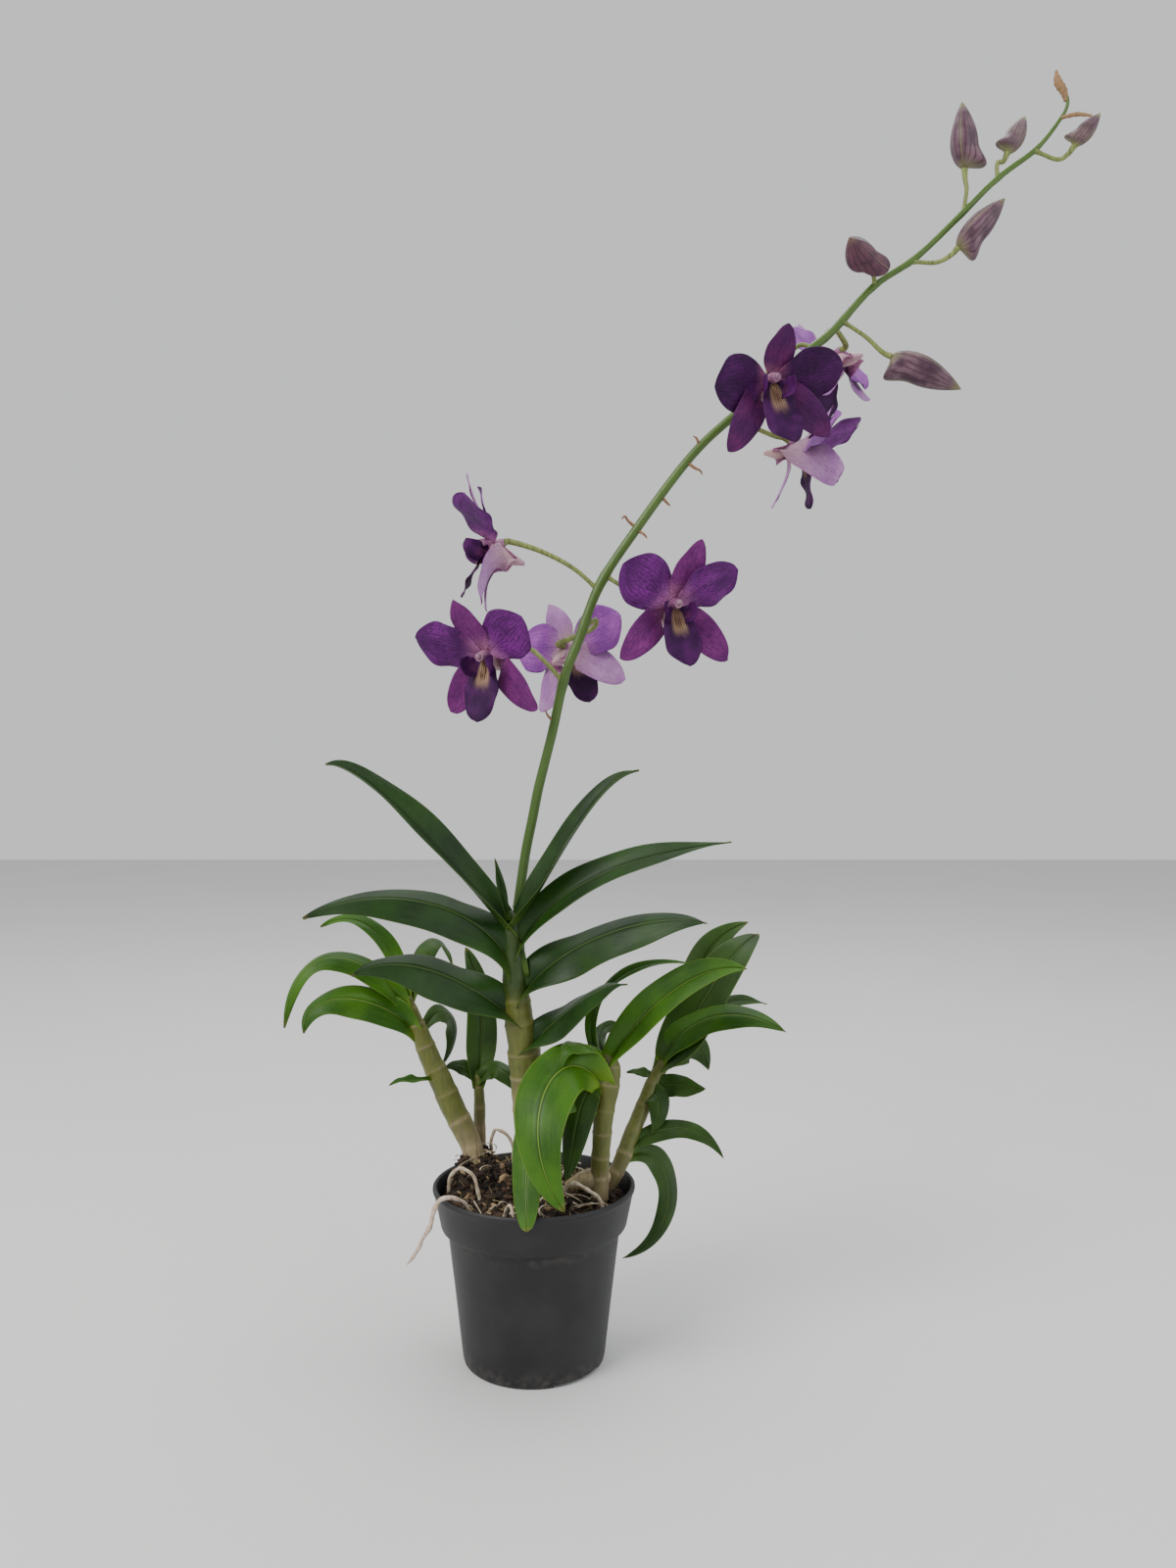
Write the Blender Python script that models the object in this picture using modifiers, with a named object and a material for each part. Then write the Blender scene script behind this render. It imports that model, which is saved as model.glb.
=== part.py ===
"""Moth-flowered dendrobium orchid standing in a small dark nursery pot.

Metres, Z up. The origin is the centre of the pot's base and the flowers look toward -Y.
All lengths in the tables are millimetres and are turned into metres by MM.
"""

import math
import random

import bmesh
import bpy
from mathutils import Matrix, Vector
from mathutils import noise

for old in list(bpy.data.objects):
    bpy.data.objects.remove(old)

MM = 0.001
rng = random.Random(7)
ORCHID = bpy.data.collections.new("potted_dendrobium")
bpy.context.scene.collection.children.link(ORCHID)

# Driving dimensions
RIM_RADIUS = 52.5
POT_HEIGHT = 90.0
POT_SEGMENTS = 30
MIX_TOP = 82.0
LEAF_THICKNESS = 1.0
PETAL_THICKNESS = 0.8
SEAT_GAP = 0.3
HOLE_GAP = 0.6
EDGE_WAVES = 13

Z_UP = Vector((0, 0, 1))


def material(name, colour, roughness, metallic=0.0):
    made = bpy.data.materials.new(name)
    made.use_nodes = True
    shader = made.node_tree.nodes["Principled BSDF"]
    shader.inputs["Base Color"].default_value = (*colour, 1.0)
    shader.inputs["Roughness"].default_value = roughness
    shader.inputs["Metallic"].default_value = metallic
    return made


POT_PLASTIC = material("pot_plastic", (0.035, 0.036, 0.040), 0.55)
BARK_MIX = material("bark_mix", (0.060, 0.038, 0.024), 0.95)
LEAF_DARK = material("leaf_dark", (0.035, 0.085, 0.040), 0.42)
LEAF_BRIGHT = material("leaf_bright", (0.120, 0.260, 0.030), 0.45)
STALK_GREEN = material("stalk_green", (0.160, 0.200, 0.050), 0.50)
PETAL_PURPLE = material("petal_purple", (0.230, 0.030, 0.330), 0.50)
BUD_MAUVE = material("bud_mauve", (0.200, 0.130, 0.210), 0.55)
ROOT_PALE = material("root_pale", (0.520, 0.480, 0.360), 0.80)


def link(name, mesh, surface=None):
    made = bpy.data.objects.new(name, mesh)
    ORCHID.objects.link(made)
    if surface:
        mesh.materials.clear()
        mesh.materials.append(surface)
    return made


def evaluated_mesh(source):
    """A plain mesh of the object with its modifiers worked in."""
    graph = bpy.context.evaluated_depsgraph_get()
    mesh = bpy.data.meshes.new_from_object(source.evaluated_get(graph))
    mesh.transform(source.matrix_world)
    return mesh


def finished(name, source, surface):
    """The object replaced by one of the wanted name, with its shape worked in and shaded smooth."""
    mesh = evaluated_mesh(source)
    bpy.data.objects.remove(source)
    made = link(name, mesh, surface)
    mesh.shade_smooth()
    return made


def tube(name, points, radii, sides=8):
    """A closed round stem along the points, with a radius at each of them."""
    curve = bpy.data.curves.new(name, "CURVE")
    curve.dimensions = "3D"
    curve.bevel_depth = 1.0
    curve.bevel_resolution = (sides - 4) // 2
    curve.use_fill_caps = True
    spline = curve.splines.new("POLY")
    spline.points.add(len(points) - 1)
    for place, co, radius in zip(spline.points, points, radii):
        place.co = (*(Vector(co) * MM), 1.0)
        place.radius = radius * MM
    source = link(name, curve)
    mesh = evaluated_mesh(source)
    bpy.data.objects.remove(source)
    work = bmesh.new()
    work.from_mesh(mesh)
    bmesh.ops.remove_doubles(work, verts=work.verts, dist=0.00001)
    bmesh.ops.triangulate(work, faces=work.faces)
    bmesh.ops.recalc_face_normals(work, faces=work.faces)
    work.to_mesh(mesh)
    work.free()
    return link(name, mesh)


def through(points, t):
    """A point and a direction on the cubic that passes through four points at even steps."""
    p0, p1, p2, p3 = (Vector(p) for p in points)
    b = (-5 * p0 + 18 * p1 - 9 * p2 + 2 * p3) / 6
    c = (2 * p0 - 9 * p1 + 18 * p2 - 5 * p3) / 6
    s = 1 - t
    place = p0 * s**3 + b * (3 * s * s * t) + c * (3 * s * t * t) + p3 * t**3
    slope = (b - p0) * (s * s) + (c - b) * (2 * s * t) + (p3 - c) * (t * t)
    return place, slope.normalized()


def rounded(points, steps):
    """More points along a smooth path through the given ones."""
    path = [Vector(p) for p in points]
    ends = [path[0] * 2 - path[1], *path, path[-1] * 2 - path[-2]]
    found = []
    for a, b, c, d in zip(ends, ends[1:], ends[2:], ends[3:]):
        for step in range(steps):
            t = step / steps
            found.append(
                (b * 2 + (c - a) * t + (a * 2 - b * 5 + c * 4 - d) * t**2
                 + (b * 3 - a - c * 3 + d) * t**3) / 2
            )
    found.append(path[-1])
    return found


def outline(s, peak, blunt, base):
    """Half width of a blade along its length, as a share of the widest."""
    if s < peak:
        return base + (1 - base) * math.sin(math.pi / 2 * s / peak)
    return max(0.05, math.cos(math.pi / 2 * (s - peak) / (1 - peak)) ** blunt)


def blade(name, spine, half_width, face, folds, thickness,
          rows=10, across=2, peak=0.4, blunt=0.7, base=0.45, wave=0.0):
    """A leaf or petal: a grid laid along its midrib, folded along it and given a thickness.

    face is the way its upper side looks; folds are the rise of each half at the base and beyond.
    """
    work = bmesh.new()
    bmesh.ops.create_grid(work, x_segments=rows, y_segments=across, size=0.5)
    for vert in work.verts:
        s = vert.co.x + 0.5
        u = vert.co.y * 2
        place, ahead = through(spine, s)
        side = ahead.cross(Vector(face)).normalized()
        upper = side.cross(ahead)
        width = half_width * outline(s, peak, blunt, base)
        blend = min(1.0, s / 0.35)
        blend = blend * blend * (3 - 2 * blend)
        fold = math.radians(folds[0] + (folds[1] - folds[0]) * blend)
        rise = width * abs(u) * math.sin(fold) + wave * abs(u) * math.sin(s * EDGE_WAVES + u * 2)
        vert.co = (place + side * (width * u * math.cos(fold)) + upper * rise) * MM
    bmesh.ops.triangulate(work, faces=work.faces)
    mesh = bpy.data.meshes.new(name)
    work.to_mesh(mesh)
    work.free()
    sheet = link(name, mesh)
    solid = sheet.modifiers.new("thickness", "SOLIDIFY")
    solid.thickness = thickness * MM
    solid.offset = 0.0
    solid.use_even_offset = True
    solid.thickness_clamp = 0.0
    done = finished(name, sheet, None)
    work = bmesh.new()
    work.from_mesh(done.data)
    if work.calc_volume(signed=True) < 0:
        bmesh.ops.reverse_faces(work, faces=work.faces)
    work.to_mesh(done.data)
    work.free()
    return done


def tidied(mesh, flat):
    """Keeps the largest body of a joined mesh, and joins the flat facets that the join split."""
    work = bmesh.new()
    work.from_mesh(mesh)
    islands, seen = [], set()
    for start in work.verts:
        if start in seen:
            continue
        island, edge = {start}, [start]
        while edge:
            for link_edge in edge.pop().link_edges:
                for vert in link_edge.verts:
                    if vert not in island:
                        island.add(vert)
                        edge.append(vert)
        seen |= island
        islands.append(island)
    keep = max(islands, key=len)
    bmesh.ops.delete(work, geom=[v for v in work.verts if v not in keep], context="VERTS")
    bmesh.ops.dissolve_limit(work, angle_limit=math.radians(flat), verts=work.verts,
                             edges=work.edges)
    bmesh.ops.triangulate(work, faces=work.faces)
    work.to_mesh(mesh)
    work.free()


def fused(name, body, others, surface):
    """One solid from a body and the pieces that grow out of it."""
    gathered = bpy.data.collections.new(name + "_pieces")
    bpy.context.scene.collection.children.link(gathered)
    for piece in others:
        for home in list(piece.users_collection):
            home.objects.unlink(piece)
        gathered.objects.link(piece)
    join = body.modifiers.new("grown together", "BOOLEAN")
    join.operation = "UNION"
    join.operand_type = "COLLECTION"
    join.collection = gathered
    join.solver = "MANIFOLD"
    made = finished(name, body, surface)
    tidied(made.data, 3.0)
    for piece in list(gathered.objects):
        bpy.data.objects.remove(piece)
    bpy.data.collections.remove(gathered)
    return made


def cut_by(body, cutters):
    """The body with holes where the cutters pass, as a plain mesh again."""
    gathered = bpy.data.collections.new("cutters")
    bpy.context.scene.collection.children.link(gathered)
    for piece in cutters:
        for home in list(piece.users_collection):
            home.objects.unlink(piece)
        gathered.objects.link(piece)
    hole = body.modifiers.new("holes", "BOOLEAN")
    hole.operation = "DIFFERENCE"
    hole.operand_type = "COLLECTION"
    hole.collection = gathered
    hole.solver = "MANIFOLD"
    name = body.name
    surface = body.data.materials[0] if body.data.materials else None
    body.name = name + "_whole"
    made = finished(name, body, surface)
    tidied(made.data, 0.5)
    for piece in list(gathered.objects):
        bpy.data.objects.remove(piece)
    bpy.data.collections.remove(gathered)
    return made


def turned(name, profile, segments, surface, bump=None):
    """A solid turned round Z from a profile that goes up its outer side, with a bump on top."""
    work = bmesh.new()
    rail = [work.verts.new((radius * MM, 0, height * MM)) for radius, height in profile[::-1]]
    for upper, lower in zip(rail, rail[1:]):
        work.edges.new((upper, lower))
    mesh = bpy.data.meshes.new(name)
    work.to_mesh(mesh)
    work.free()
    source = link(name + "_profile", mesh)
    spin = source.modifiers.new("turned", "SCREW")
    spin.steps = segments
    spin.render_steps = segments
    spin.use_merge_vertices = True
    spin.merge_threshold = 0.00005
    made = finished(name, source, surface)
    if bump:
        for vert in made.data.vertices:
            x, y, height = vert.co / MM
            vert.co.z += bump(x, y, height) * MM
    return made


# Pot: a thin moulded cup with a deep collar, a rolled lip and a foot ring
POT_PROFILE = [
    (0, 0), (19, 0), (20.5, 1.6), (30.5, 1.6), (31.5, 0), (35, 0), (36.3, 0.8), (36.9, 3),
    (44.4, 66), (44.8, 67.6), (47.8, 69.2), (48.3, 70.2), (51.6, 86.5), (RIM_RADIUS, 88),
    (RIM_RADIUS, 89.2), (51.8, POT_HEIGHT), (50.6, POT_HEIGHT), (49.9, 89), (46.9, 71.4),
    (46.3, 70.6), (43.4, 69), (43.0, 67.5), (35.4, 5), (34, 3.5), (0, 3.5),
]
pot = turned("pot", POT_PROFILE, POT_SEGMENTS, POT_PLASTIC)


# Its drain holes, and the notches that let water out from under the foot ring
DRAIN_RADIUS, DRAIN_RING, FLOOR_MIDDLE = 3.5, 25.5, 2.5
NOTCH_ANGLES, NOTCH_RING, NOTCH_SIZE = (-48, 132), 34.0, Vector((7.5, 30.0, 3.2))


def shaped(name, make, **sizes):
    """An object from one of bmesh's ready shapes."""
    work = bmesh.new()
    make(work, **sizes)
    mesh = bpy.data.meshes.new(name)
    work.to_mesh(mesh)
    work.free()
    return link(name, mesh)


drains = []
for step in range(4):
    turn = Matrix.Rotation(math.radians(45 + 90 * step), 4, "Z")
    place = turn @ Vector((DRAIN_RING, 0, FLOOR_MIDDLE)) * MM
    drains.append(shaped(
        "drain", bmesh.ops.create_cone, cap_ends=True, segments=16, depth=6 * MM,
        radius1=DRAIN_RADIUS * MM, radius2=DRAIN_RADIUS * MM, matrix=Matrix.Translation(place),
    ))
for middle in NOTCH_ANGLES:
    turn = Matrix.Rotation(math.radians(middle), 4, "Z")
    place = Matrix.Translation(Vector((NOTCH_RING, 0, 0)) * MM)
    drains.append(shaped(
        "foot_notch", bmesh.ops.create_cube, size=1.0,
        matrix=turn @ place @ Matrix.Diagonal((*NOTCH_SIZE * MM, 1)),
    ))
pot = cut_by(pot, drains)

# Canes: path and radius of each, from inside the bark mix upwards
CANES = {
    "main": (
        [(1, 5, 58), (0, 5, 80), (-1, 5, 100), (-2, 3, 118), (-3, 2, 134), (-4, 1, 144),
         (-5, 1, 154), (-6, 0, 163), (-8, 0, 175), (-9, 0, 185), (-10, 0, 197), (-11, 1, 214),
         (-11, 2, 231)],
        [7.2, 7.6, 8.0, 8.5, 8.9, 8.4, 8.8, 8.0, 7.7, 7.0, 6.6, 6.0, 5.4], 12),
    "left": (
        [(-28, 10, 60), (-29, 10, 84), (-31, 11, 97), (-36, 12, 110), (-44, 14, 125),
         (-50, 15, 138), (-56, 16, 150), (-61, 17, 162), (-65, 18, 171), (-70, 20, 183)],
        [3.6, 3.9, 4.9, 6.0, 6.4, 6.2, 5.6, 5.0, 4.2, 3.0], 10),
    "back": (
        [(-29, 26, 66), (-30, 27, 88), (-31, 28, 110), (-31, 28, 123), (-32, 29, 140)],
        [2.8, 3.2, 3.3, 3.1, 2.4], 8),
    "right_front": (
        [(33, -5, 60), (34, -5, 86), (34, -5, 97), (35, -7, 113), (36, -8, 128), (38, -6, 141),
         (39, -5, 151), (37, -4, 159)],
        [4.2, 4.6, 4.8, 4.9, 5.4, 6.2, 5.6, 3.4], 10),
    "right_back": (
        [(34, 13, 64), (37, 11, 79), (42, 10, 90), (46, 11, 98), (50, 15, 107), (57, 23, 121),
         (64, 30, 135), (71, 35, 146), (76, 40, 154)],
        [3.4, 3.8, 4.2, 4.3, 4.4, 4.2, 4.0, 3.6, 2.6], 8),
}

# Leaves: four places along the midrib from the cane to the tip, half width,
# the way the upper side looks, and the fold at the base and beyond
LEAVES = {
    "main": [
        ("low_right", [(-5, -1, 157), (13, -14, 178), (30, -28, 193), (47, -42, 200)],
         10.5, (0.1, -0.60, 0.8), (55, -20)),
        ("low_left", [(-8, 0, 172), (-37, -14, 196), (-65, -26, 207), (-88, -36, 203)],
         13.0, (-0.1, -0.68, 0.75), (52, -20)),
        ("mid_right", [(-8, 0, 184), (21, -14, 213), (57, -28, 228), (86, -38, 229)],
         12.5, (0.1, -0.66, 0.75), (52, -20)),
        ("mid_left", [(-9, 0, 196), (-37, -12, 230), (-77, -25, 240), (-112, -35, 231)],
         12.5, (-0.1, -0.68, 0.75), (50, -22)),
        ("up_right", [(-9, 0, 207), (15, -9, 239), (53, -16, 258), (100, -22, 268)],
         10.0, (-0.1, -0.66, 0.75), (52, 16)),
        ("top_left", [(-11, 0, 217), (-41, -6, 254), (-78, -10, 292), (-106, -12, 307)],
         11.0, (0.3, -0.45, 0.85), (56, 30)),
        ("top_right", [(-11, -1, 221), (9, -8, 253), (31, -12, 287), (54, -14, 304)],
         9.5, (-0.4, -0.45, 0.85), (56, 30)),
        ("spear", [(-13, -3, 226), (-16, -6, 240), (-18, -7, 250), (-20, -7, 259)],
         2.6, (0.2, -1.0, 0.2), (45, 30)),
    ],
    "left": [
        ("outer", [(-69, 18, 174), (-88, 15, 198), (-114, 8, 204), (-130, 0, 170)],
         8.5, (-0.2, -0.6, 0.9), (50, -18)),
        ("inner", [(-63, 17, 162), (-83, 9, 180), (-107, 2, 184), (-119, -4, 168)],
         10.0, (-0.3, -0.8, 0.65), (50, -14)),
        ("bract", [(-53, 14, 140), (-62, 4, 142), (-68, 0, 143), (-75, -3, 141)],
         2.6, (0, -0.6, 0.8), (45, 20)),
        ("strap", [(-69, 20, 180), (-78, 27, 204), (-95, 30, 221), (-118, 30, 219)],
         5.5, (0.2, -0.7, 0.7), (45, 18)),
        ("rear", [(-68, 20, 178), (-63, 36, 201), (-57, 52, 209), (-51, 72, 192)],
         6.0, (0.3, -0.2, 1.0), (45, -15)),
        ("hang", [(-62, 17, 163), (-52, 31, 172), (-47, 40, 161), (-54, 46, 139)],
         5.5, (0.6, -0.6, 0.6), (45, -10)),
    ],
    "back": [
        ("upright", [(-32, 28, 131), (-31, 34, 152), (-32, 41, 177), (-41, 50, 205)],
         8.0, (0.2, -1.0, 0.2), (45, 20)),
        ("right", [(-32, 28, 134), (-24, 24, 143), (-16, 20, 141), (-7, 17, 129)],
         6.0, (0, -0.7, 0.7), (45, -15)),
        ("left", [(-32, 28, 134), (-38, 28, 142), (-44, 29, 144), (-50, 30, 142)],
         4.5, (0, -0.7, 0.7), (45, -10)),
    ],
    "right_front": [
        ("big", [(38, -5, 150), (55, -14, 177), (80, -22, 199), (107, -28, 205)],
         10.5, (-0.4, -0.8, 0.5), (50, 18)),
        ("arch", [(38, -4, 148), (31, 4, 176), (49, 6, 198), (84, 6, 202)],
         4.0, (-0.5, -0.6, 0.7), (45, 20)),
        ("curl", [(37, -6, 154), (24, -18, 165), (16, -24, 164), (14, -28, 152)],
         5.5, (-0.3, -0.6, 0.9), (45, -18)),
        ("grey", [(37, -4, 155), (34, 10, 163), (38, 17, 167), (46, 23, 168)],
         4.0, (-0.2, -0.9, 0.5), (45, 10)),
        ("front", [(36, -8, 142), (14, -30, 155), (4, -50, 133), (17, -62, 97)],
         13.5, (-0.3, -0.9, 0.5), (48, -16)),
        ("fall", [(35, -8, 130), (6, -22, 134), (-2, -40, 112), (-1, -58, 86)],
         10.0, (-0.3, -0.9, 0.4), (48, -16)),
        ("dark", [(36, -8, 141), (26, -15, 137), (21, -21, 119), (17, -25, 99)],
         8.0, (-0.2, -0.9, 0.3), (45, -10)),
    ],
    "right_back": [
        ("broad", [(70, 34, 143), (82, 28, 164), (101, 34, 193), (124, 54, 212)],
         14.0, (-0.45, -0.85, 0.4), (48, 12)),
        ("behind", [(73, 38, 149), (88, 57, 180), (99, 63, 203), (121, 70, 217)],
         10.5, (-0.4, -0.9, 0.3), (48, 12)),
        ("long", [(68, 35, 142), (83, 22, 166), (106, 10, 175), (131, 0, 168)],
         9.0, (0, -0.75, 0.7), (48, -14)),
        ("square", [(73, 38, 149), (94, 56, 165), (112, 64, 172), (132, 72, 169)],
         5.5, (0, -0.6, 0.8), (45, 10)),
        ("under", [(66, 33, 139), (77, 40, 150), (88, 46, 150), (96, 50, 136)],
         10.0, (0, -0.9, 0.4), (45, -8)),
        ("right", [(60, 30, 127), (72, 25, 134), (81, 21, 134), (91, 17, 134)],
         6.5, (0, -0.85, 0.5), (45, -8)),
        ("left", [(65, 32, 136), (60, 31, 139), (55, 30, 140), (49, 29, 140)],
         2.8, (0, -0.7, 0.7), (45, 0)),
        ("drop", [(60, 29, 128), (65, 22, 129), (66, 17, 122), (62, 13, 111)],
         6.5, (0.2, -0.9, 0.3), (45, -8)),
        ("low", [(48, 13, 102), (66, 15, 112), (84, 12, 113), (99, 3, 101)],
         5.5, (0, -0.8, 0.55), (45, -12)),
        ("hang", [(46, 11, 98), (68, 26, 90), (71, 35, 60), (47, 35, 36)],
         7.0, (0.5, -0.9, 0.2), (45, -10)),
    ],
}

SHOOT_COLOUR = {
    "main": LEAF_DARK, "left": LEAF_BRIGHT, "back": LEAF_DARK,
    "right_front": LEAF_BRIGHT, "right_back": LEAF_BRIGHT,
}

soil_holes = []
for key, (path, radii, sides) in CANES.items():
    body = tube("cane_" + key, path, radii, sides)
    grown = []
    for label, spine, half, face, folds in LEAVES[key]:
        rows = 7 if key == "main" and label != "spear" else 5
        grown.append(blade(
            f"{key}_{label}", spine, half, face, folds, LEAF_THICKNESS, rows=rows,
            peak=0.40, blunt=1.0 if key == "main" else 0.75, base=0.42, wave=0.5,
        ))
    if key == "right_front":
        grown.append(tube("rhizome", [(17, 0, 88), (26, -4, 92), (34, -2, 93), (37, 2, 92)],
                          [3.0, 5.0, 5.2, 3.6], 8))
        soil_holes.append(tube("rhizome_hole", [(16, 0, 87.5), (26, -4, 92), (34, -2, 93),
                                                (38, 3, 92)], [3.6, 5.5, 5.7, 4.2], 8))
    fused("shoot_" + key, body, grown, SHOOT_COLOUR[key])
    below = Vector((0, 0, -0.4))
    low = [Vector(path[0]) + below, *(Vector(p) for p in path[1:4])]
    soil_holes.append(tube("hole_" + key, low, [r + HOLE_GAP for r in radii[:4]], sides))

# Roots: each stands in its own hole in the mix
ROOTS = {
    "root_over_rim": ([(-27, -20, 74), (-32, -25, 86), (-37, -29, 91.6), (-41, -32.5, 93),
                       (-45.5, -34, 91), (-50, -34, 80), (-55, -32, 69), (-62, -30, 59)],
                      [1.5, 1.7, 1.7, 1.7, 1.7, 1.6, 1.5, 0.9]),
    "root_hook": ([(-14, -34, 72), (-13, -37, 85), (-11, -41, 91.5), (-9, -44.5, 92),
                   (-8, -46, 87.5)], [1.4, 1.5, 1.5, 1.4, 0.8]),
    "root_back_arc": ([(-22, 24, 72), (-24, 22, 95), (-23, 20, 110), (-18, 19, 111),
                       (-14, 19, 106), (-12, 19, 98), (-13, 19, 74)],
                      [1.3, 1.4, 1.4, 1.4, 1.4, 1.4, 1.3]),
    "root_right": ([(12, -14, 74), (15, -17, 90), (20, -21, 96), (28, -24, 94), (35, -25, 87),
                    (35, -24, 73)], [1.5, 1.6, 1.6, 1.6, 1.5, 1.4]),
    "root_left_loop": ([(-43, -1, 74), (-44, -4, 92), (-39, -8, 99), (-32, -11, 98),
                        (-28, -12, 90), (-27, -12, 73)], [1.4, 1.5, 1.5, 1.5, 1.4, 1.4]),
}
for name, (path, radii) in ROOTS.items():
    smooth = rounded(path, 2)
    wide = rounded([(r, 0, 0) for r in radii], 2)
    root = tube(name, smooth, [max(0.6, w.x) for w in wide], 8)
    finished(name, root, ROOT_PALE)
    hole = [smooth[0] + Vector((0, 0, -0.4)), *smooth[1:]]
    soil_holes.append(tube("hole_" + name, hole, [max(0.6, w.x) + HOLE_GAP for w in wide], 8))


# Bark mix: fills the pot, with a lumpy top that is heaped on the left
def lumpy(x, y, height):
    if height < 74:
        return 0.0
    edge = min(1.0, max(0.0, (47.5 - math.hypot(x, y)) / 10))
    heap = 15 * math.exp(-((x + 30) ** 2 + (y - 12) ** 2) / 260)
    rough = 4.5 * noise.noise(Vector((x, y, 0)) * 0.13) + 2.5 * noise.noise(Vector((x, y, 9)) * 0.3)
    return edge * (heap + rough)


MIX_PROFILE = [
    (0, 4), (33.3, 4), (34.9, 5.6), (42.5, 67.8), (42.9, 69.6), (46.0, 71.3), (48.3, 81),
    (46, MIX_TOP), (40, MIX_TOP), (33, MIX_TOP), (26, MIX_TOP), (18, MIX_TOP),
    (10, MIX_TOP), (0, MIX_TOP),
]
mix = turned("mix_heap", MIX_PROFILE, POT_SEGMENTS, BARK_MIX, lumpy)
lumps = []
for number in range(8):
    turn = number * 2.4
    reach = 10 + 30 * ((number * 0.618) % 1.0)
    x, y = reach * math.cos(turn), reach * math.sin(turn)
    size = rng.uniform(4.0, 6.5)
    height = MIX_TOP + lumpy(x, y, MIX_TOP)
    shape = (Matrix.Translation(Vector((x, y, height)) * MM)
             @ Matrix.Rotation(rng.uniform(0, 6), 4, "Z")
             @ Matrix.Rotation(rng.uniform(-0.5, 0.5), 4, "X")
             @ Matrix.Diagonal((rng.uniform(1.0, 1.5), rng.uniform(0.7, 1.0), 0.6, 1)))
    lumps.append(shaped("lump", bmesh.ops.create_icosphere, subdivisions=1, radius=size * MM,
                        matrix=shape))
mix = fused("potting_mix", mix, lumps, BARK_MIX)
mix = cut_by(mix, soil_holes)

# Blooms: centre, heading (0 is toward the viewer, 90 toward +X) and tilt, then for each piece
# the angle round the face, the length and how far it is lifted forward, in the order below
PIECES = ("dorsal", "petal_left", "petal_right", "sepal_left", "sepal_right", "lip")
BLOOMS = {
    "bloom_1": ((-20, -8, 420), -88, -10,
                [(90, 39, 11), (118, 37, 4), (40, 35, 16), (238, 37, 16), (300, 38, 17),
                 (264, 32, 42)]),
    "bloom_2": ((-23, -14, 363), -25, -28,
                [(103, 34, 12), (160, 39, 8), (36, 34, 8), (228, 38, 14), (314, 39, 14),
                 (267, 36, 42)]),
    "bloom_3": ((17, 26, 371), 150, -10,
                [(55, 34, 10), (150, 34, 6), (5, 36, 6), (208, 38, 12), (300, 39, 12),
                 (262, 34, 42)]),
    "bloom_4": ((71, -16, 388), 15, -18,
                [(75, 36, 12), (146, 36, 8), (33, 37, 8), (223, 40, 14), (319, 40, 14),
                 (278, 36, 42)]),
    "bloom_5": ((119, -22, 500), 16, -24,
                [(85, 28, 14), (190, 31, 8), (14, 38, 8), (240, 42, 14), (326, 42, 14),
                 (286, 38, 44)]),
    "bloom_6": ((163, 32, 531), -138, -30,
                [(78, 30, 12), (178, 35, 6), (30, 30, 8), (204, 36, 12), (310, 33, 14),
                 (268, 34, 40)]),
    "bloom_7": ((140, 17, 478), 90, -30,
                [(108, 27, 12), (150, 30, 20), (67, 37, 38), (204, 38, 43), (282, 35, 8),
                 (266, 35, 40)]),
}


def bloom_frame(centre, heading, tilt):
    """Local X to the right of the face, Y toward its top, Z out of it; in millimetres."""
    a, e = math.radians(heading), math.radians(tilt)
    out = Vector((math.sin(a) * math.cos(e), -math.cos(a) * math.cos(e), math.sin(e)))
    right = Z_UP.cross(out).normalized()
    top = out.cross(right)
    frame = Matrix((right, top, out)).transposed().to_4x4()
    frame.translation = Vector(centre)
    return frame


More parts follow.
